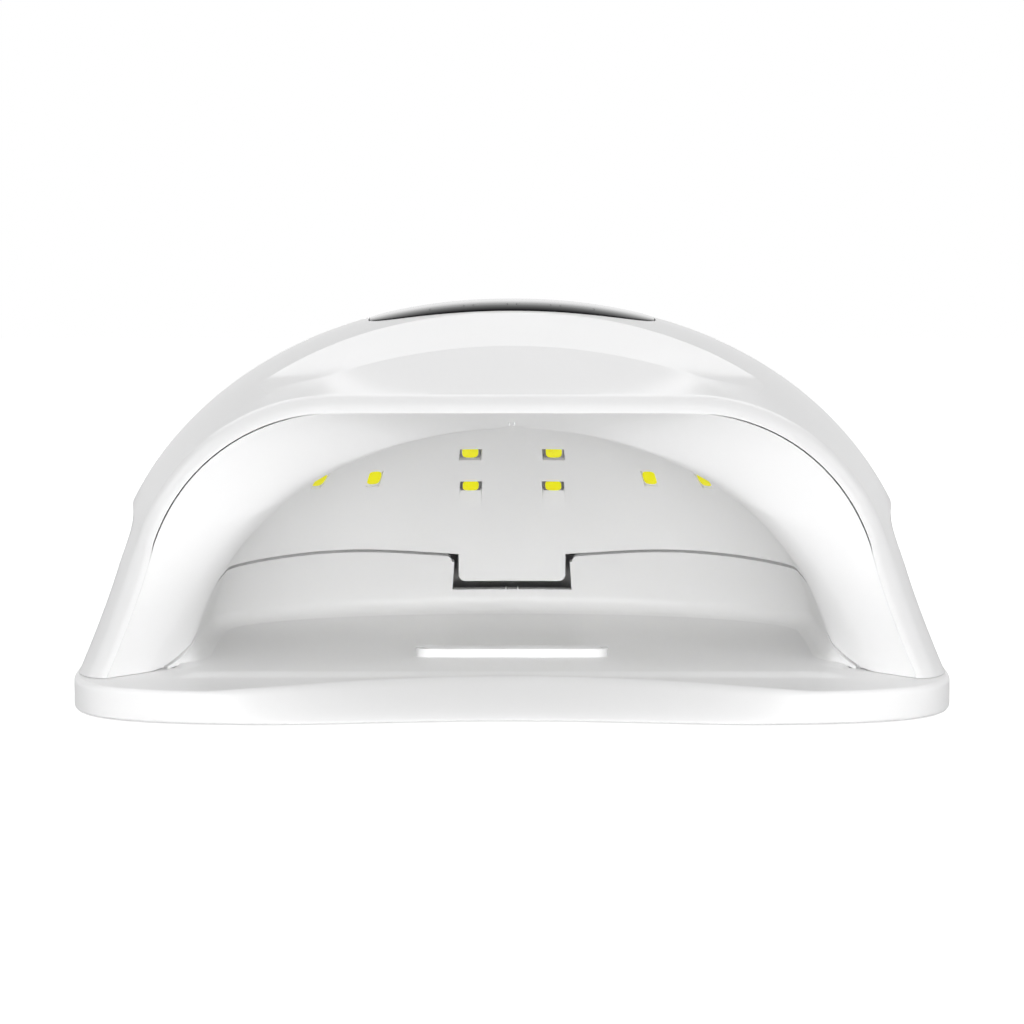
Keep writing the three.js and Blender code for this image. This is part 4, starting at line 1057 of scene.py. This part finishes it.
def buildVault():
    t = np.linspace(0, 1, liner["columns"] + 1)
    headings, tongueX = linerHeadings()
    rows = []
    for heading in headings:
        rows.append(vaultRear(t * seamAngle(lambda angle: vaultRear(angle, heading), cavity["top"]), heading))
    corner = liner["tongueCorner"]
    past = clamp01((np.abs(tongueX) - liner["tongueHalfWidth"] + corner) / corner)
    bottom = liner["tongueBottom"] + corner * (1 - np.sqrt(1 - past ** 2))
    first = len(headings) // 2 - len(tongueX) // 2
    top = np.array(rows)[first:first + len(tongueX), -1, 2]
    tongue = []
    for share in np.linspace(0, 1, liner["tongueRows"]):
        z = mix(top, bottom, share)
        tongue.append(stack(tongueX, cavityY(tongueX, z), z))
    piece = joinAll([gridSheet(linerFrontGrid()), gridSheet(np.array(rows)), gridSheet(np.array(tongue))])
    tidyMesh(piece, liner["weld"])
    faceVault(piece)
    thinEdge = piece.vertex_groups.new(name="wall")
    for vertex in piece.data.vertices:
        behind = (vertex.co.y / mm - arch["y"] - liner["flareGap"]) / liner["edgeReach"]
        thinEdge.add([vertex.index], float(mix(liner["edgeShare"], 1, clamp01(behind))), "REPLACE")
    applyModifier(piece, "SOLIDIFY", thickness=liner["wall"] * mm, offset=-1, vertex_group="wall")
    piece.vertex_groups.clear()
    return piece


# The sheet's faces look into the hand space, so that its wall grows outwards
def faceVault(piece):
    middle = Vector((0, 0, cavity["seamRearZ"] * mm))
    inward = sum((middle - face.center).dot(face.normal) * face.area for face in piece.data.polygons)
    if inward < 0:
        piece.data.flip_normals()


# Skirt behind the joint with the tray, with a lip over the wall; it leaves the notch's view open
def buildSkirt():
    parts = []
    edge = liner["notchView"] / cavity["halfWidth"] / np.pi
    for side in (-1, 1):
        rear = np.linspace(edge, turnStation, liner["skirtRearSteps"])
        front = np.linspace(turnStation, 1, liner["skirtFrontSteps"])[1:]
        station = side * np.concatenate([rear, front])
        top = cavity["seamGap"] + liner["shoulder"]
        faces = []
        for offset in (liner["step"], liner["step"] + liner["skirtWall"]):
            height = seamAround(station, top, offset)
            rows = []
            for share in np.linspace(0, 1, liner["skirtRows"]):
                rows.append(wallAround(station, mix(shell["foot"], height, share), offset))
            faces.append(np.array(rows))
        parts.append(thickSheet(*faces))
        lip = []
        for level, reach in liner["lipReaches"]:
            lip.append(wallAround(station, seamAround(station, top - liner["lipDrop"], level), reach))
        parts.append(thickSheet(np.array(lip), np.array(lip) - [0, 0, liner["lipWall"]]))
    return parts


# Screws and magnets: their places in X and Y, their spans in Z
screw = {
    "housing": [(-97, -22), (-55, 70), (97, -22), (55, 70)],
    "cover": [(-62, -54), (-62, 40), (62, -54), (62, 40)],
    "hole": 3,
    "holeDepth": 1.6,
    "headRadius": 2.7,
    "headHeight": 1,
    "headEase": 0.25,
    "cross": (3.2, 0.6, 1.2),
    "shankRadius": 1.35,
    "shankSpan": (0.9, 6),
    "shankEase": 0.2,
    "coverZ": 0.7,
    "housingRecess": 0.3,
}
magnet = {
    "x": 99.5,
    "y": -46,
    "radius": 4,
    "room": 0.3,
    "ease": 0.2,
    "traySpan": (6.9, 8.35),
    "trayPocket": (6.6, 12),
    "housingSpan": (9.2, 10.8),
    "housingPocket": (0, 20),
}


def magnetHole(side, span):
    return roundBar(magnet["radius"] + magnet["room"], *span, (side * magnet["x"], magnet["y"], 0))


def buildFlange():
    station = np.linspace(-1, 1, liner["flangeSteps"])
    offset = np.where(np.abs(station) > turnStation, liner["wall"], liner["step"] + liner["skirtWall"] / 2)
    inner = wallAround(station, shell["foot"], offset)
    shares = np.linspace(*liner["throatShares"], liner["throatSteps"])[1:]
    throat = flarePoint(np.full(shares.shape, 2.0), shares) + [liner["throatRoom"], 0, 0]
    inner = np.concatenate([throat[::-1] * [-1, 1, 1], inner, throat])
    turns = np.arctan2(inner[:, 1] - foot["widestY"], inner[:, 0])
    x, y = footOutline(turns, liner["flangeInset"])
    x = np.sign(x) * np.maximum(np.abs(x), np.abs(inner[:, 0]))
    outer = stack(x, np.maximum(y, inner[:, 1].min()), shell["foot"])
    low = np.array([mix(inner, outer, share) for share in np.linspace(0, 1, liner["flangeRows"])])
    low[..., 2] = shell["foot"]
    piece = thickSheet(low, low + [0, 0, liner["flange"]])
    for x, y in screw["housing"]:
        cutAway(piece, roundBar(screw["hole"], 0, screw["holeDepth"] + shell["foot"], (x, y, 0)))
    for side in (-1, 1):
        cutAway(piece, magnetHole(side, magnet["housingPocket"]))
    return piece


print("liner parts ready")

# Light sources

led = {
    "length": 5.7,
    "width": 3.4,
    "height": 0.9,
    "ease": 0.08,
    "margin": 0.4,
    "glowLength": 4.7,
    "glowPower": 3.4,
    "glowRise": 0.15,
    "glowProfile": [(0, 0), (0.5, 0), (0.9, 0.01), (0.97, 0.04), (1, 0.12), (1, 0.3), (0, 0.3)],
    "glowSteps": 48,
    "cutSpan": (-2, 3.2),
    "rampSteps": 9,
    "rampLength": 6,
    "rampDepth": 1.5,
    "rampMargin": 0.1,
    "rampRoom": 3,
}
upperKind = {"face": 1.05, "opening": 4.4, "tilt": 33}
lowerKind = {"face": 0.45, "opening": 3.7, "ramp": True}
flatKind = {"face": 0.25}
uprightKind = {"face": 0.25, "upright": True, "margin": 0.08, "breadth": 1.2}


# A spot is given by X and Z on the rear wall, and by X and Y in the ceiling
ledSpots = [
    ("rear_upper", (12, 57.4), upperKind),
    ("rear_lower", (12, 47.6), lowerKind),
    ("side_inner", (39.7, 50.6), uprightKind),
    ("side_outer", (54.8, 50.7), uprightKind),
    ("side_front", (62, 51), uprightKind),
    ("ceiling_front", (15.5, -38), flatKind),
    ("ceiling_rear", (15.5, -10), flatKind),
]


def ledPlaces():
    found = []
    for name, side in sides.items():
        for spot, (x, other), kind in ledSpots:
            y, z = float(cavityY(x, other)), other
            if spot.startswith("ceiling"):
                angle = math.asin(x / cavityHalfWidthAt(other))
                y, z = other, float(cavityHeightAt(other) * math.cos(angle))
            found.append((f"led_{spot}_{name}", (side * x, y, z), kind))
    return found


# A slope below the window: level with the vault at its foot, deepest at the window
def windowRamp(width, opening):
    share = np.linspace(0, 1, led["rampSteps"])[:, None]
    x = np.array([[-width / 2, width / 2]])
    y = -opening / 2 - led["rampLength"] * (1 - share)
    far = stack(x, y, led["rampDepth"] * share ** 2 - y ** 2 / (2 * cavity["top"]))
    return thickSheet(far - [0, 0, led["rampRoom"]], far)


def windowCutters():
    boxes, ramps = [], []
    low, high = led["cutSpan"]
    for _, place, kind in ledPlaces():
        margin = kind.get("margin", led["margin"])
        width = led["length"] + 2 * margin
        opening = kind.get("opening", led["width"] * kind.get("breadth", 1) + 2 * margin)
        size = (opening, width) if kind.get("upright") else (width, opening)
        box = easedBlock((*size, high - low))
        boxes.append(settle(box, wallFrame(place) @ shift(0, 0, (low + high) / 2)))
        if kind.get("ramp"):
            ramps.append(settle(windowRamp(width, opening - led["rampMargin"]), wallFrame(place)))
    return joinAll(boxes), joinAll(ramps)


# One package: a tinned base with a yellow block that is round at its ends
def buildLed():
    depth = led["height"] - led["glowRise"]
    base = settle(easedBlock((led["length"], led["width"], depth), led["ease"], 2), shift(0, 0, depth / 2))
    turn = np.linspace(0, 2 * np.pi, led["glowSteps"] + 1)
    power = led["glowPower"]
    radius = (np.abs(np.cos(turn) * 2 / led["glowLength"]) ** power
              + np.abs(np.sin(turn) * 2 / led["width"]) ** power) ** (-1 / power)
    x, y = radius * np.cos(turn), radius * np.sin(turn)
    rows = [stack(share * x, share * y, back - led["glowRise"]) for share, back in led["glowProfile"]]
    glow = closedSkin(np.array(rows))
    return joinTwoTone(base, glow, tinned, phosphor)


def joinTwoTone(first, second, firstFinish, secondFinish):
    for piece in (first, second):
        piece.data.materials.append(firstFinish)
        piece.data.materials.append(secondFinish)
    for face in second.data.polygons:
        face.material_index = 1
    return joinAll([first, second])


def placeLeds():
    first = buildLed()
    for name, place, kind in ledPlaces():
        copy = copyTo(first)
        turn = Matrix.Rotation(math.radians(kind.get("tilt", 0)), 4, "X")
        stand = Matrix.Rotation(math.pi / 2 if kind.get("upright") else 0, 4, "Z")
        stretch = Matrix.Diagonal((1, kind.get("breadth", 1), 1, 1))
        settle(copy, wallFrame(place) @ shift(0, 0, kind["face"] + led["glowRise"]) @ turn @ stand @ stretch)
        if kind.get("upright"):
            copy.data.materials[0] = ribWhite
        mountPiece(copy, name.replace("led_", "lamp_"), "housing", [tinned, phosphor], [name])
    bpy.data.objects.remove(first)


def buildLiner():
    vault = buildVault()
    for cutter in windowCutters():
        cutAway(vault, cutter)
    bpy.ops.mesh.primitive_uv_sphere_add(segments=48, ring_count=24, radius=mm)
    dimple = bpy.context.object
    dimple.scale = liner["dimpleSize"]
    back, down = liner["dimpleBack"], liner["dimpleDrop"]
    cutAway(vault, settle(dimple, shift(0, cavity["mouthY"] + back, cavity["mouthTop"] - down)))
    piece = joinAll([vault, *buildSkirt(), buildFlange()])
    mountPiece(piece, "linerBody", "housing", [linerGloss], ["reflector_liner"], 32)


buildLiner()
placeLeds()
print("liner and light sources built")

# Tray: rimmed plate with a ramp in front, low floor and a wall round the hand space

tray = {
    "rimBottom": 0.4,
    "corner": 1.4,
    "wallUnder": 2.6,
    "pocketTop": 5.4,
    "rampTopRecess": 25,
    "rampTopHalfWidth": 76,
    "rampTopPower": 1.15,
    "rampFootRecess": 6.8,
    "rampFootHalfWidth": 65,
    "rampFootPower": 2,
    "rampPower": 1.4,
    "crestRise": 0.7,
    "crestStart": 0.93,
    "plateSteps": 70,
    "plateCrowding": 1.6,
    "plateauHalfWidth": 86.6,
    "plateauSlope": 7,
    "floorRise": 1,
    "wall": 2.4,
    "fillet": 5,
    "notchHalfWidth": 17.6,
    "notchFloor": 16.3,
    "notchCorner": 1.6,
    "notchReach": 30,
    "cornerRows": 8,
    "edgeRows": 14,
    "footRows": 6,
    "nearSteps": 40,
    "farSteps": 16,
    "frontSteps": 40,
    "notchSteps": 17,
    "bandRows": 15,
    "besideRows": 9,
    "sunk": 0.6,
    "leastBand": 0.5,
    "leastWall": 0.2,
    "weld": 0.01,
    "coverFrontY": -74,
}


def bow(x, halfWidth, power):
    return (1 - clamp01(np.abs(x) / halfWidth) ** 2) ** power


def plateLoop(turns, cornerOut, z):
    x, y = footOutline(turns, cornerOut)
    ahead = y < foot["widestY"]
    rampShare = ((z - tray["rimBottom"]) / (rimHeight - tray["rimBottom"])) ** tray["rampPower"]
    footBow = tray["rampFootRecess"] * bow(x, tray["rampFootHalfWidth"], tray["rampFootPower"])
    topBow = bow(x, tray["rampTopHalfWidth"], tray["rampTopPower"])
    y = y + np.where(ahead, mix(footBow, tray["rampTopRecess"] * topBow, rampShare), 0)
    z = z + np.where(ahead, tray["crestRise"] * topBow * rampShare ** 2, 0)
    return stack(x, y, z)


def floorHeight(x, y):
    frontStart = frontEdgeY + tray["rampTopRecess"] + tray["corner"]
    fromSide = (tray["plateauHalfWidth"] - np.abs(x)) / tray["plateauSlope"]
    fromFront = (y - frontStart) / tray["plateauSlope"]
    rear = np.maximum(0, y - cavity["turnY"]) / (cavity["rearReach"] + tray["wall"] / 2)
    inside = (x / tray["plateauHalfWidth"]) ** 2 + rear ** 2 < 1
    share = clamp01(np.minimum(np.where(y > cavity["mouthY"], 1, fromSide), fromFront))
    return np.where(inside, tray["floorRise"] * smoothStep(0, 1, share), 0)


def buildPlate():
    turns = evenTurns(foot["outlineSteps"])
    corner = tray["corner"]
    crest = plateLoop(turns, corner, rimHeight)
    middle = np.array([0, foot["widestY"], rimHeight])
    rows = []
    for share in 1 - np.linspace(1, 0, tray["plateSteps"]) ** tray["plateCrowding"]:
        line = mix(middle, crest, share)
        near = clamp01((share - tray["crestStart"]) / (1 - tray["crestStart"]))
        lift = (crest[:, 2] - rimHeight) * near ** 2
        line[:, 2] = rimHeight + lift + floorHeight(line[:, 0], line[:, 1])
        rows.append(line)
    rows[-1] = crest
    for turn in np.linspace(0, np.pi / 2, tray["cornerRows"])[1:]:
        z = rimHeight - corner * (1 - math.cos(turn))
        rows.append(plateLoop(turns, corner * (1 - math.sin(turn)), z))
    for z in np.linspace(rimHeight - corner, tray["rimBottom"] + corner / 2, tray["edgeRows"])[1:]:
        rows.append(plateLoop(turns, 0, z))
    for turn in np.linspace(0, np.pi / 2, tray["footRows"])[1:]:
        z = tray["rimBottom"] + corner / 2 * (1 - math.sin(turn))
        rows.append(plateLoop(turns, corner / 2 * (1 - math.cos(turn)), z))
    x, y = footOutline(turns, tray["wallUnder"] + corner)
    y = np.maximum(y, tray["coverFrontY"])
    rows.append(stack(x, y, tray["rimBottom"]))
    rows.append(stack(x, y, tray["pocketTop"]))
    rows.append(stack(0 * x, 0 * y, tray["pocketTop"]))
    return closedSkin(np.array(rows))


# Face of the wall towards the hand space, rounded into the floor where it is high enough
def basinFace(station, z):
    points = wallAround(station, z)
    depth = clamp01((cavity["floorZ"] + tray["fillet"] - z) / tray["fillet"])
    inward = tray["fillet"] * (1 - np.sqrt(1 - depth ** 2))
    fade = clamp01((seamAround(station, 0) - cavity["floorZ"]) / tray["fillet"] / 2)
    toward = np.array([0, cavity["turnY"], 0]) - points
    toward[..., 1] = np.where(np.abs(station) > turnStation, 0, toward[..., 1])
    toward[..., 2] = 0
    toward /= np.linalg.norm(toward, axis=-1, keepdims=True)
    return points + toward * (inward * fade)[..., None]


def basinBand(station, low, high, steps):
    rows = [basinFace(station, mix(low, high, share)) for share in np.linspace(0, 1, steps)]
    return gridSheet(np.array(rows))


def basinTop(station):
    top = seamAround(station, -cavity["seamGap"])
    x = np.abs(wallAround(station, top)[..., 0])
    past = clamp01(1 - (x - tray["notchHalfWidth"]) / tray["notchCorner"])
    return top - tray["notchCorner"] * (1 - np.sqrt(1 - past ** 2))


# Wall of the tray: a lower band all round, and what stands beside the notch
def buildBasinWall():
    level = math.sqrt(1 - (tray["notchFloor"] / cavity["top"]) ** 2)
    x = tray["notchHalfWidth"] + tray["notchReach"] * np.linspace(0, 1, tray["nearSteps"]) ** 2
    near = np.arcsin(x / (cavity["halfWidth"] * level)) / np.pi
    far = np.linspace(near[-1], turnStation, tray["farSteps"])[1:]
    front = np.linspace(turnStation, 1, tray["frontSteps"])[1:]
    beside = np.concatenate([near, far, front])
    middle = np.linspace(-near[0], near[0], tray["notchSteps"])[1:-1]
    around = np.concatenate([-beside[::-1], middle, beside])

    def splitAt(station):
        return np.minimum(tray["notchFloor"], seamAround(station, -cavity["seamGap"]) - tray["leastWall"])

    split = splitAt(around)
    start = np.minimum(cavity["floorZ"] - tray["sunk"], split - tray["leastBand"])
    parts = [basinBand(around, start, split, tray["bandRows"])]
    for side in (-1, 1):
        station = side * beside
        parts.append(basinBand(station, splitAt(station), basinTop(station), tray["besideRows"]))
    piece = joinAll(parts)
    tidyMesh(piece, tray["weld"])
    faceVault(piece)
    applyModifier(piece, "SOLIDIFY", thickness=tray["wall"] * mm, offset=-1)
    return piece


# Raised bar for the fingertips, and two nibs on the floor of the notch
bar = {"length": 51, "depth": 7, "corner": 3.45, "y": -39.5, "rise": 2.5, "sunk": 1, "ease": 1.3,
       "segments": (14, 5)}
nib = {"places": (-1.8, 1.7), "radius": 0.45, "tip": 0.1, "height": 0.9, "back": 0.8, "rise": 0.3}


def buildFingerBar():
    low, high = cavity["floorZ"] - bar["sunk"], cavity["floorZ"] + bar["rise"]
    block = roundedBlock(bar["length"], bar["depth"], bar["corner"], low, high, bar["ease"], *bar["segments"])
    parts = [settle(block, shift(0, bar["y"], 0))]
    for x in nib["places"]:
        bpy.ops.mesh.primitive_cone_add(vertices=24, radius1=nib["radius"] * mm, radius2=nib["tip"] * mm,
                                        depth=nib["height"] * mm)
        y = float(cavityY(x, tray["notchFloor"])) + nib["back"]
        parts.append(settle(bpy.context.object, shift(x, y, tray["notchFloor"] + nib["rise"])))
    return parts


def buildTray():
    plate = buildPlate()
    for side in (-1, 1):
        cutAway(plate, magnetHole(side, magnet["trayPocket"]))
    piece = joinAll([plate, buildBasinWall(), *buildFingerBar()])
    mountPiece(piece, "trayBody", "tray", [trayGloss], ["base_tray"], 30)


buildTray()
print("tray built")

# Panel window and its four keys

key = {
    "names": ("first", "second", "third", "fourth"),
    "pitch": 11.5,
    "y": -33,
    "width": 9,
    "depth": 6.6,
    "corner": 1.6,
    "gap": 0.12,
    "low": -2.65,
    "cutSpan": (-5, 4),
    "flangeReach": (0.45, 0.9),
    "flange": 0.8,
    "flangeEase": 0.1,
    "stemRadius": 1.5,
    "stemSpan": (-0.5, 0.3),
}


def domeFrame(x, y):
    step = shell["wall"] / 2
    across = Vector((2 * step, 0, float(domeZ(x + step, y) - domeZ(x - step, y)))).normalized()
    along = Vector((0, 2 * step, float(domeZ(x, y + step) - domeZ(x, y - step)))).normalized()
    normal = across.cross(along).normalized()
    return frameAt((x, y, float(domeZ(x, y))), across, normal.cross(across), normal)


def keyBlock(reach, span, ease=0):
    return roundedBlock(key["width"] + 2 * reach[0], key["depth"] + 2 * reach[1], key["corner"], *span, ease)


# The caps are cut from a plate of the panel's own form, so they lie flush in it
def buildPanel():
    lens = panelPlate(0, panel["proud"] - panel["thickness"], panel["proud"], panel["ease"])
    blank = panelPlate(0, key["low"], panel["proud"])
    middle = (len(key["names"]) - 1) / 2
    frames = [domeFrame((k - middle) * key["pitch"], key["y"]) for k in range(len(key["names"]))]
    for place in frames:
        cutAway(lens, settle(keyBlock((key["gap"], key["gap"]), key["cutSpan"]), place))
    mountPiece(lens, "panelWindow", "housing", [blackGlass], ["display_lens"], 30)
    for place, name in zip(frames, key["names"]):
        cap = copyTo(blank)
        cutAway(cap, settle(keyBlock((0, 0), key["cutSpan"]), place), "INTERSECT")
        flange = keyBlock(key["flangeReach"], (key["low"], key["low"] + key["flange"]), key["flangeEase"])
        low, high = key["stemSpan"]
        stem = roundBar(key["stemRadius"], key["low"] + low, key["low"] + high)
        piece = joinAll([cap, settle(flange, place), settle(stem, place)])
        node = "timer_key_" + name
        mountPiece(piece, "keyCap_" + name, "key_" + name, [blackGlass], [node], 30)
    bpy.data.objects.remove(blank)


buildPanel()
print("panel and keys built")

# Feet, screws, magnets and the power inlet

pad = {
    "profile": [(0, 0.12), (3, 0.12), (5, 0.08), (5.8, 0), (6.6, 0), (6.9, 0.1), (7, 0.3), (7, 0.9),
                (0, 0.9)],
    "places": {"front": (88, -62), "rear": (58, 62)},
    "steps": 64,
}


def footPad():
    turn = np.linspace(0, 2 * np.pi, pad["steps"] + 1)
    rows = [stack(radius * np.cos(turn), radius * np.sin(turn), z) for radius, z in pad["profile"]]
    return closedSkin(np.array(rows))


def crossScrew():
    head = roundBar(screw["headRadius"], 0, screw["headHeight"], ease=screw["headEase"])
    for turn in (0, math.pi / 2):
        cutAway(head, settle(easedBlock(screw["cross"]), Matrix.Rotation(turn, 4, "Z")))
    shank = roundBar(screw["shankRadius"], *screw["shankSpan"], facets=32, ease=screw["shankEase"])
    return joinAll([head, shank])


def buildSmallParts():
    rubberPad = footPad()
    for row, (x, y) in pad["places"].items():
        for name, side in sides.items():
            node = f"foot_{row}_{name}"
            piece = copyTo(rubberPad, (side * x, y, 0))
            mountPiece(piece, "pad_" + node, "tray", [rubber], [node])
    fixing = crossScrew()
    for kind, body, z in (("cover", "tray", screw["coverZ"]),
                          ("housing", "housing", shell["foot"] + screw["housingRecess"])):
        for k, (x, y) in enumerate(screw[kind]):
            piece = copyTo(fixing, (x, y, z))
            mountPiece(piece, f"{kind}Fixing_{k + 1}", body, [steel], [f"{kind}_screw_{k + 1}"])
    for name, side in sides.items():
        for body in ("tray", "housing"):
            place = (side * magnet["x"], magnet["y"], 0)
            piece = roundBar(magnet["radius"], *magnet[body + "Span"], place, "Z", 64, magnet["ease"])
            mountPiece(piece, f"{body}Catch_{name}", body, [steel], [f"{body}_magnet_{name}"])
    for spare in (rubberPad, fixing):
        bpy.data.objects.remove(spare)


def buildInlet():
    place = (0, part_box("dc_jack")[1].y / mm, jack["z"])
    barrel = roundBar(jack["radius"], -jack["length"], 0, place, "Y", jack["facets"], jack["ease"])
    cutAway(barrel, roundBar(jack["bore"], -jack["boreDepth"], jack["overrun"], place, "Y"))
    rear = -jack["boreDepth"] - jack["pin"]
    pin = roundBar(jack["pin"], rear, -jack["pinRecess"], place, "Y", 32, jack["ease"])
    piece = joinTwoTone(barrel, pin, blackPlastic, steel)
    mountPiece(piece, "powerInlet", "housing", [blackPlastic, steel], ["dc_jack"])


buildSmallParts()
buildInlet()
print("small parts built")

# Two short ribs above the hand sensor

rib = {"x": 0.65, "size": (0.3, 1.8, 0.75), "ease": 0.1, "alongShare": 0.62, "sunk": 0.3, "tilt": 0.2}


def buildSensorRibs():
    y = mix(arch["y"], cavity["mouthY"], rib["alongShare"])
    z = mix(arch["top"], cavity["mouthTop"], rib["alongShare"]) - rib["sunk"]
    ribs = []
    for side in (-1, 1):
        block = easedBlock(rib["size"], rib["ease"])
        ribs.append(settle(block, shift(side * rib["x"], y, z) @ Matrix.Rotation(rib["tilt"], 4, "X")))
    mountPiece(joinAll(ribs), "sensorRibs", "housing", [ribWhite], [])


buildSensorRibs()

# CAD pieces that stay, each with its own finish

carried = {
    "base_cover": whiteSatin,
    "display_module": blackPlastic,
    "control_board": greenBoard,
    "driver_board": greenBoard,
    "sensor_board": greenBoard,
    "driver_capacitor": blackPlastic,
    "sensor_emitter": ribWhite,
    "sensor_receiver": ribWhite,
    "lead_power": redLead,
    "lead_panel": redLead,
}
for name, piece in nodes.items():
    if name.startswith("led_board"):
        carried[name] = whiteBoard
    if name.startswith("key_switch"):
        carried[name] = blackPlastic
for name, finish in carried.items():
    piece = nodes[name]
    piece.data.materials.clear()
    piece.data.materials.append(finish)
print("carried pieces finished")

# Floor, light and camera

studio = {
    "floorHalf": 3,
    "floorColour": (0.8, 0.8, 0.8, 1),
    "floorGlow": 0.8,
    "glowReach": (0.2, 0.6),
    "worldLevel": 0.02,
    "aim": (0, 0, 0.05),
}
lamps = {
    "topLamp": {"place": (0, 0.625, 1.2), "size": (2.2, 0.3), "power": 8.4},
    "overLamp": {"place": (0, 0, 1.5), "size": (2.2, 0.5), "power": 1},
    "highLamp": {"place": (0, -1.1, 0.95), "size": (1.5, 0.4), "power": 3},
    "farLamp": {"place": (0, -2, 0.1), "size": (1.3, 0.15), "power": 4.2},
    "cornerLamp": {"place": (1.2, -2, 0.3), "size": (0.93, 0.58), "power": 9, "paired": True},
    "frontLamp": {"place": (0, -0.75, 0.04), "size": (0.5, 0.07), "power": 1.18},
    "sideLamp": {"place": (1, -0.4, 0.7), "size": (0.4, 0.6), "power": 2.8, "paired": True},
    "levelLamp": {"place": (1.2, 0, 0.3), "size": (0.6, 0.6), "power": 1, "paired": True},
}


def buildFloor():
    bpy.ops.mesh.primitive_plane_add(size=2 * studio["floorHalf"])
    floor = bpy.context.object
    floor.name = "studioFloor"
    finish = bpy.data.materials.new("studio floor")
    finish.use_nodes = True
    tree = finish.node_tree
    tree.nodes.clear()
    rays = tree.nodes.new("ShaderNodeLightPath")
    seen = Flow(tree, rays.outputs["Is Camera Ray"])
    matt = seen.node("ShaderNodeBsdfDiffuse", {}, {"Color": studio["floorColour"]})
    place = Flow(tree, tree.nodes.new("ShaderNodeTexCoord").outputs["Object"])
    distance = place.node("ShaderNodeVectorMath", {"operation": "LENGTH"}, {0: place}, 1)
    far = distance.between(*studio["glowReach"])
    level = studio["floorGlow"] + far * (1 - studio["floorGlow"])
    glow = seen.node("ShaderNodeEmission", {}, {"Strength": seen * level})
    both = seen.node("ShaderNodeAddShader", {}, {0: matt, 1: glow})
    output = tree.nodes.new("ShaderNodeOutputMaterial")
    tree.links.new(both.socket, output.inputs["Surface"])
    floor.data.materials.append(finish)


def areaLamp(name, place, size, power):
    light = bpy.data.lights.new(name, "AREA")
    light.shape = "RECTANGLE"
    light.size, light.size_y = size
    light.energy = power
    lamp = bpy.data.objects.new(name, light)
    bpy.context.collection.objects.link(lamp)
    lamp.location = place
    aim = Vector(studio["aim"]) - Vector(place)
    lamp.rotation_euler = aim.to_track_quat("-Z", "Y").to_euler()


def buildWorld():
    world = bpy.data.worlds.new("studio")
    bpy.context.scene.world = world
    world.use_nodes = True
    tree = world.node_tree
    tree.nodes.clear()
    rays = tree.nodes.new("ShaderNodeLightPath")
    camera = Flow(tree, rays.outputs["Is Camera Ray"])
    glossy = Flow(tree, rays.outputs["Is Glossy Ray"])
    through = Flow(tree, rays.outputs["Is Transmission Ray"])
    bright = camera.maths("MAXIMUM", camera.maths("MAXIMUM", camera, glossy), through)
    level = studio["worldLevel"] + bright * (1 - studio["worldLevel"])
    backdrop = camera.node("ShaderNodeBackground", {}, {"Color": (1, 1, 1, 1), "Strength": level})
    output = tree.nodes.new("ShaderNodeOutputWorld")
    tree.links.new(backdrop.socket, output.inputs["Surface"])


buildFloor()
buildWorld()
for name, lamp in lamps.items():
    x, y, z = lamp["place"]
    for side in (-1, 1) if lamp.get("paired") else (1,):
        areaLamp(name, (side * x, y, z), lamp["size"], lamp["power"])

view = {"lens": 114.8, "sensor": 36, "place": (0, -0.9, 0.12), "pitch": -4.8}


def buildCamera():
    lens = bpy.data.cameras.new("photoCamera")
    lens.lens = view["lens"]
    lens.sensor_width = view["sensor"]
    camera = bpy.data.objects.new("photoCamera", lens)
    bpy.context.collection.objects.link(camera)
    camera.location = view["place"]
    camera.rotation_euler = (math.radians(90 + view["pitch"]), 0, 0)
    bpy.context.scene.camera = camera


buildCamera()
bpy.context.scene.view_settings.view_transform = "Standard"
print("studio built")
